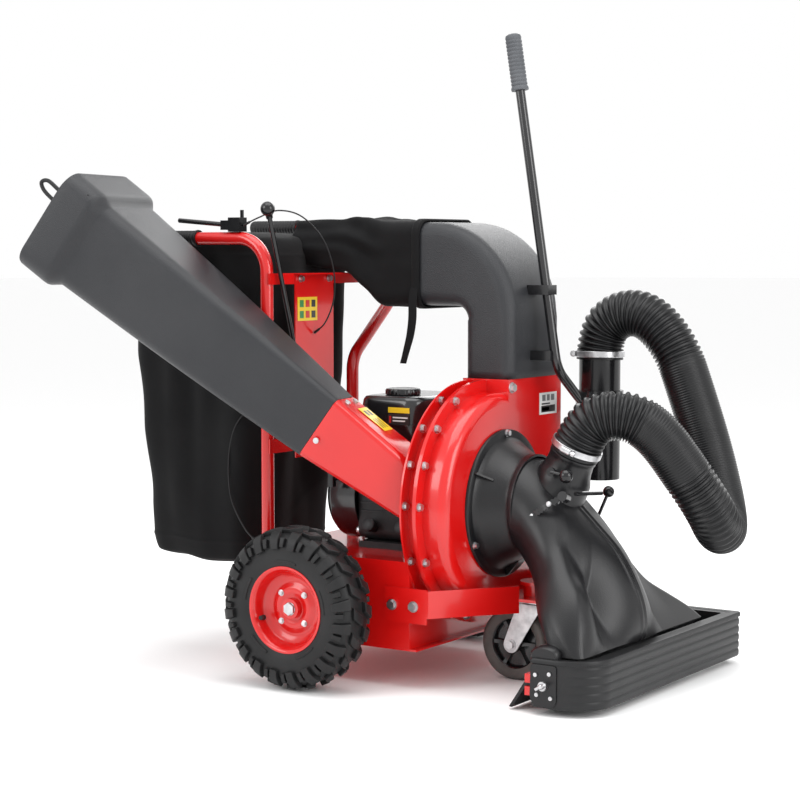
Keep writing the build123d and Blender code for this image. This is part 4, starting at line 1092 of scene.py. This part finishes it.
def make_labels():
    x = 0.2874
    label("housing_label", (x, 0.146, 0.532), (0, 0.074, 0), (0, 0, 0.046), WHITE,
          [(0.10, 0.10, 0.90, 0.40, INK), (0.12, 0.45, 0.60, 0.52, INK),
           (0.15, 0.62, 0.34, 0.90, GREY), (0.42, 0.62, 0.58, 0.90, GREY),
           (0.66, 0.62, 0.85, 0.90, GREY), (0.14, 0.16, 0.55, 0.33, GREEN)])
    spots = [(u, v, u + 0.2, v + 0.3, ink) for (u, ink) in ((0.10, GREEN), (0.40, RED_INK), (0.70, INK))
             for v in (0.12, 0.58)]
    label("panel_label", (-0.1503, -0.116, 0.729), (0, 0.070, 0), (0, 0, 0.050), YELLOW, spots)

    joint_up = JOINT + HOPPER_UP * 0.0705
    far_edge, near_edge = joint_up - HOPPER_SIDE * 0.050, joint_up + HOPPER_SIDE * 0.050
    foot_far, foot_near = Vector((0.196, -0.105, 0.450)), Vector((0.196, -0.205, 0.450))

    def patch(s, t):
        return near_edge.lerp(foot_near, s).lerp(far_edge.lerp(foot_far, s), t)

    corner = patch(0.16, 0.45)
    u, v = patch(0.50, 0.45) - corner, patch(0.16, 0.85) - corner
    lift = u.cross(v).normalized()
    label("chute_label", corner + lift * 0.0012, u, v, YELLOW,
          [(0.12, 0.20, 0.34, 0.45, INK), (0.12, 0.58, 0.34, 0.80, INK), (0.48, 0.20, 0.88, 0.28, INK),
           (0.48, 0.46, 0.88, 0.54, INK), (0.48, 0.72, 0.88, 0.80, INK)])

    label("tank_stripe", (0.082, -0.1187, 0.546), (0.052, 0, 0), (0, 0, 0.011), YELLOW, [])
    label("tank_notes", (0.082, -0.1187, 0.520), (0.052, 0, 0), (0, 0, 0.024), INK,
          [(0.05, 0.2, 0.14, 0.8, RED_INK), (0.22, 0.62, 0.92, 0.74, WHITE),
           (0.22, 0.34, 0.80, 0.46, WHITE)])
    label("starter_label", (-0.1003, 0.030, 0.346), (0, -0.060, 0), (0, 0, 0.030), GREY, [])


def rows_of_fins(low, high, count, thick, axis):
    """Thin plates spread between two corners along an axis."""
    parts = []
    for k in range(count):
        f = (k + 0.5) / count
        a, b = list(low), list(high)
        mid = low[axis] + (high[axis] - low[axis]) * f
        a[axis], b[axis] = mid - thick / 2, mid + thick / 2
        parts.append(bent_box(a, b))
    return parts


def make_engine_details():
    # cylinder fins on the left of the crankcase, and the head's fins
    fins = rows_of_fins((-0.004, 0.088, 0.300), (0.116, 0.1635, 0.4315), 9, 0.0026, 1)
    fins += rows_of_fins((0.020, 0.086, 0.4285), (0.096, 0.160, 0.4318), 8, 0.003, 0)
    block = solid("cylinder_fins", joined(fins), "engine_alloy", smooth=False)
    soften(block, 0.0006, 1)

    # tank: two pressed halves with a seam flange
    def tank_ring(z, grow, r):
        return rounded_ring(Vector((0.076, -0.010, z)), X, Y, 0.152 + grow,
                            0.216 + grow, r, 12, 8)

    rows = [(0.4705, -0.040, 0.020), (0.4715, -0.020, 0.028), (0.476, -0.006, 0.034),
            (0.484, 0, 0.036), (0.5185, 0, 0.036), (0.5190, 0.008, 0.040), (0.5225, 0.008, 0.040),
            (0.5230, 0, 0.036), (0.560, -0.001, 0.036), (0.570, -0.005, 0.034), (0.576, -0.014, 0.030),
            (0.5782, -0.030, 0.024), (0.5785, -0.060, 0.012)]
    solid("tank_shell", shut([tank_ring(*row) for row in rows]), "black_paint", angle=50,
          stands_for="fuel_tank")

    # fuel cap: flat and round, with a knurled edge
    n = 120
    rings = []
    for z, r, teeth in ((0.5786, 0.0345, 0), (0.580, 0.0368, 1), (0.588, 0.0368, 1), (0.5912, 0.0345, 0),
                        (0.5920, 0.0300, 0), (0.5914, 0.0280, 0), (0.5914, 0.0100, 0)):
        ring = []
        for k in range(n):
            a = 2 * pi * k / n
            rr = r - 0.0009 * teeth * (k % 4 < 2)
            ring.append(Vector((0.073 + rr * cos(a), -0.050 + rr * sin(a), z)))
        rings.append(ring)
    solid("fuel_cap_round", shut(rings), "gloss_plastic", "tank_cap", angle=35, stands_for="fuel_cap")

    # air cleaner: lid, band and star knob
    def box_ring(z, grow, r):
        return rounded_ring(Vector((0.080, 0.147, z)), X, Y, 0.132 + grow,
                            0.086 + grow, r, 8, 6)

    rows = [(0.4322, -0.016, 0.014), (0.4340, -0.004, 0.019), (0.440, 0, 0.020), (0.515, 0, 0.020),
            (0.5155, 0.005, 0.022), (0.5215, 0.005, 0.022), (0.522, 0.001, 0.021),
            (0.552, -0.001, 0.020), (0.561, -0.006, 0.018), (0.5655, -0.018, 0.012)]
    cleaner = solid("air_cleaner_lid", shut([box_ring(*row) for row in rows]), "gloss_plastic",
                    angle=50)
    rings = []
    for z, r, wave in ((0.565, 0.0075, 0), (0.572, 0.0075, 0), (0.5725, 0.012, 1),
                       (0.580, 0.012, 1), (0.583, 0.008, 0)):
        ring = []
        for k in range(50):
            a = 2 * pi * k / 50
            lobed = r + 0.0022 * wave * cos(5 * a)
            ring.append(Vector((0.080 + lobed * cos(a), 0.147 + lobed * sin(a), z)))
        rings.append(ring)
    solid("air_cleaner_knob", shut(rings), "gloss_plastic")
    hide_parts("air_cleaner")

    # recoil cover: pressed dome with cooling slots
    profile = [(0.0, 0.0975), (-0.060, 0.0975), (-0.066, 0.0965), (-0.074, 0.090), (-0.0800, 0.080),
               (-0.0812, 0.072), (-0.0790, 0.068), (-0.0790, 0.042), (-0.0815, 0.038),
               (-0.0819, 0.020), (-0.0800, 0.0002), (-0.0770, 0.0002), (-0.0770, 0.066),
               (-0.070, 0.086), (-0.060, 0.0925), (0.0, 0.0935)]
    solid("recoil_dome", lathe(profile, (-0.018, 0, FAN_HEIGHT), (1, 0, 0), 96, loop=True),
          "black_paint", angle=35, stands_for="recoil_cover")
    slots = []
    centre = Vector((-0.018, 0, FAN_HEIGHT))
    for k in range(20):
        a = 2 * pi * k / 20
        radial = Vector((0, cos(a), sin(a)))
        tang = Vector((0, -sin(a), cos(a)))
        rings = [[centre + Vector((-0.0780 - lift, 0, 0)) + radial * r
                  + tang * (w + (r - 0.045) * 0.35)
                  for r, w in ((0.0455, 0.003), (0.0650, 0.003), (0.0650, -0.003), (0.0455, -0.003))]
                 for lift in (0.0, 0.0017)]
        slots.append(shut(rings))
    solid("recoil_slots", joined(slots), "engine_alloy", angle=30)
    bolts = []
    for k in range(4):
        a = radians(45 + 90 * k)
        spot = centre + Vector((-0.004, 0.1015 * cos(a), 0.1015 * sin(a)))
        bolts.append(hexagon_bolt(spot, (-1, 0, 0), 0.006, 0.005))
        bolts.append(tube_along([spot + Vector((0.004, 0, 0)), spot], 0.010, 16))
    solid("recoil_bolts", joined(bolts), "zinc_steel", angle=30)

    # muffler shield with slots, the spark plug and its lead
    parts = [bent_box((0.004, 0.2185, 0.312), (0.110, 0.2208, 0.418))]
    for k in range(6):
        z = 0.330 + k * 0.014
        parts.append(bent_box((0.022, 0.2206, z), (0.092, 0.2235, z + 0.006)))
    shield = solid("muffler_shield", joined(parts), "black_paint", smooth=False)
    soften(shield, 0.001, 2)
    lead = smooth_path([(0.056, 0.150, 0.300), (0.030, 0.152, 0.288), (-0.004, 0.130, 0.300),
                        (-0.014, 0.094, 0.330)], 30)
    plug = joined([tube_along(lead, 0.0032, 10),
                   tube_along([(0.056, 0.128, 0.306), (0.056, 0.156, 0.298)], 0.0095, 16)])
    solid("spark_lead", plug, "black_rubber", angle=50)
    # oil filler, drain and sump rib on the crankcase
    plug_form = [(0, 0.012), (0.014, 0.012), (0.016, 0.014), (0.024, 0.014), (0.026, 0.011)]
    filler = [lathe(plug_form, (x, -0.080, 0.300), (0, -1, 0.35), 24) for x in (0.020, 0.100)]
    filler += rows_of_fins((-0.010, -0.0865, 0.325), (0.120, -0.0815, 0.428), 6, 0.003, 2)
    solid("crankcase_ribs", joined(filler), "engine_alloy", angle=35)
    # carburettor, intake and choke lever between air cleaner and cylinder
    parts = [tube_along([(0.075, 0.118, 0.4315), (0.075, 0.118, 0.4385)], 0.026, 24),
             bent_box((0.118, 0.092, 0.378), (0.146, 0.128, 0.424)),
             tube_along([(0.118, 0.110, 0.400), (0.100, 0.110, 0.400)], 0.014, 20),
             tube_along([(0.146, 0.110, 0.412), (0.152, 0.140, 0.414)], 0.0028, 10)]
    carb = solid("carburettor", joined(parts), "gear_alloy", angle=35)
    soften(carb, 0.001, 2)


def grip_rings(start, end, radius, ribs):
    """A moulded grip: a ribbed sleeve with a flange at its inner end and a domed outer end."""
    start, end = Vector(start), Vector(end)
    along = (end - start).normalized()
    length = (end - start).length
    profile = [(0, radius * 0.8), (0.0, radius + 0.001), (0.003, radius + 0.0015),
               (0.006, radius + 0.001)]
    for k in range(ribs):
        d0 = 0.010 + (length - 0.022) * k / ribs
        pitch = (length - 0.022) / ribs
        profile += [(d0, radius - 0.0012), (d0 + pitch * 0.2, radius), (d0 + pitch * 0.7, radius),
                    (d0 + pitch * 0.9, radius - 0.0012)]
    profile += [(length - 0.008, radius), (length - 0.003, radius - 0.0015), (length, radius * 0.6)]
    return lathe(profile, start, along, 32)


def make_grips():
    near = grip_rings((-0.350, -0.196, 0.903), (-0.486, -0.196, 0.903), 0.0168, 14)
    far = grip_rings((-0.430, 0.270, 0.930), (-0.566, 0.270, 0.930), 0.0168, 14)
    solid("handle_grips_ribbed", joined([near, far]), "black_rubber", stands_for="handle_grips")
    top = Vector((0.235, 0.120, 1.320))
    down = (Vector((0.318, 0.120, 0.796)) - top).normalized()
    solid("wander_grip_ribbed", grip_rings(top + down * 0.112, top - down * 0.006, 0.0170, 12),
          "grip_rubber", stands_for="wander_grip")


def make_knobs():
    """A ball knob with a short collar, and the wing nut on the skirt's end."""
    ball = Vector((-0.1405, -0.231, 0.963))
    down = Vector((0, 0.325, -0.945)).normalized()
    turned = [(-0.0148, 0.0006), (-0.0143, 0.0040), (-0.012, 0.0088), (-0.0075, 0.0129), (0.0, 0.0149),
              (0.006, 0.0137), (0.011, 0.0102), (0.014, 0.0075), (0.021, 0.0068), (0.022, 0.0045)]
    solid("shift_knob", lathe(turned, ball, down, 40), "gloss_plastic", "gear_lever", angle=50)
    wings = []
    centre = Vector((0.532, -0.2725, 0.058))
    wings.append(lathe([(0, 0.0055), (0.006, 0.0048), (0.008, 0.003)], centre, (0, -1, 0), 20))
    for s in (1, -1):
        tip = centre + Vector((0.010 * s, -0.007, 0.006 * s))
        wings.append(tube_along([centre + Vector((0.002 * s, -0.003, 0)), tip], 0.0032, 10))
    solid("wing_nut", joined(wings), "zinc_steel")


def make_cables():
    """The two bowden cables, at their real thickness, along the routes of the plain ones."""
    throttle = [(-0.231, -0.196, 0.930), (-0.200, -0.184, 0.946), (-0.174, -0.150, 0.961),
                (-0.146, -0.106, 0.949), (-0.117, -0.070, 0.902), (-0.104, -0.050, 0.838),
                (-0.106, -0.046, 0.776), (-0.122, -0.054, 0.726), (-0.1474, -0.060, 0.702)]
    clutch = [(-0.188, -0.178, 0.560), (-0.235, -0.170, 0.546), (-0.281, -0.166, 0.500),
              (-0.298, -0.166, 0.430), (-0.289, -0.170, 0.350), (-0.250, -0.176, 0.290),
              (-0.214, -0.180, 0.262)]
    for route, name in ((throttle, "throttle_cable"), (clutch, "clutch_cable")):
        line = smooth_path(route, 90)
        ends = [tube_along(line[:6], 0.0027, 14), tube_along(line[-6:], 0.0027, 14)]
        solid(name + "_thin", joined([tube_along(line, 0.0016, 12)] + ends), "black_rubber", angle=60,
              stands_for=name)


def make_handle_bracket():
    """The folded bracket that ties the near handle tube to the control panel's plate, with its bolt."""
    parts = [bent_box((-0.1835, -0.2115, 0.536), (-0.1515, -0.2090, 0.586)),
             bent_box((-0.1540, -0.2115, 0.536), (-0.1515, -0.1560, 0.586))]
    bracket = solid("handle_bracket", joined(parts), "red_paint", angle=35)
    soften(bracket, 0.0012, 2)
    bolts = [hexagon_bolt((-0.1675, -0.2115, 0.561), (0, -1, 0), 0.0065, 0.005),
             hexagon_bolt((-0.1515, -0.172, 0.561), (1, 0, 0), 0.0060, 0.005)]
    solid("handle_bracket_bolts", joined(bolts), "zinc_steel", angle=30)


# ---------------------------------------------------------------- scene
def make_stage():
    n = 96
    verts = [Vector((60 * cos(2 * pi * k / n), 60 * sin(2 * pi * k / n), 0)) for k in range(n)]
    mesh = bpy.data.meshes.new("floor")
    mesh.from_pydata([tuple(v) for v in verts], [], [tuple(range(n))])
    floor = bpy.data.objects.new("floor", mesh)
    bpy.context.scene.collection.objects.link(floor)
    mat = shader("floor", (0.97, 0.97, 0.97), 0.9, specular=0.1)
    mesh.materials.append(mat)

    world = bpy.data.worlds.new("studio")
    bpy.context.scene.world = world
    world.use_nodes = True
    world.node_tree.nodes["Background"].inputs["Color"].default_value = (1, 1, 1, 1)
    world.node_tree.nodes["Background"].inputs["Strength"].default_value = 1.0


def softbox(name, place, target, size, power):
    data = bpy.data.lights.new(name, "AREA")
    data.shape = "RECTANGLE"
    data.size, data.size_y = size
    data.energy = power
    obj = bpy.data.objects.new(name, data)
    obj.location = place
    obj.rotation_euler = (Vector(target) - Vector(place)).to_track_quat("-Z", "Y").to_euler()
    bpy.context.scene.collection.objects.link(obj)


def make_camera():
    data = bpy.data.cameras.new("camera")
    data.sensor_fit = "HORIZONTAL"
    data.sensor_width = 36.0
    data.lens = 36.0 * 2000 / 800
    camera = bpy.data.objects.new("camera", data)
    camera.location = (2.3608, -3.5181, 0.8784)
    camera.rotation_euler = (radians(90 - 4.43), 0, radians(33.5))
    bpy.context.scene.collection.objects.link(camera)
    bpy.context.scene.camera = camera


finish_cad()
make_camera()
make_stage()
bpy.context.scene.view_settings.view_transform = "Standard"
softbox("top", (0.3, -0.4, 3.4), (0.1, 0, 0.5), (3.0, 2.4), 62)
softbox("key", (-1.6, -3.2, 2.2), (0, 0, 0.5), (1.8, 1.8), 42)
softbox("side", (3.2, -0.4, 1.6), (0.2, 0, 0.5), (1.4, 2.0), 38)
softbox("back", (-0.6, 3.0, 2.4), (0, 0, 0.6), (2.4, 1.4), 34)

for SIDE, NAME in ((-1, "right"), (1, "left")):
    make_tyre(SIDE, NAME)
    make_rim(SIDE, NAME)
make_caster_wheel()
make_hose()
make_clamps()
make_nozzle()
make_port()
make_skirt()
make_hopper()
make_elbow()
make_bag()
make_labels()
make_engine_details()
make_grips()
make_knobs()
make_cables()
make_handle_bracket()
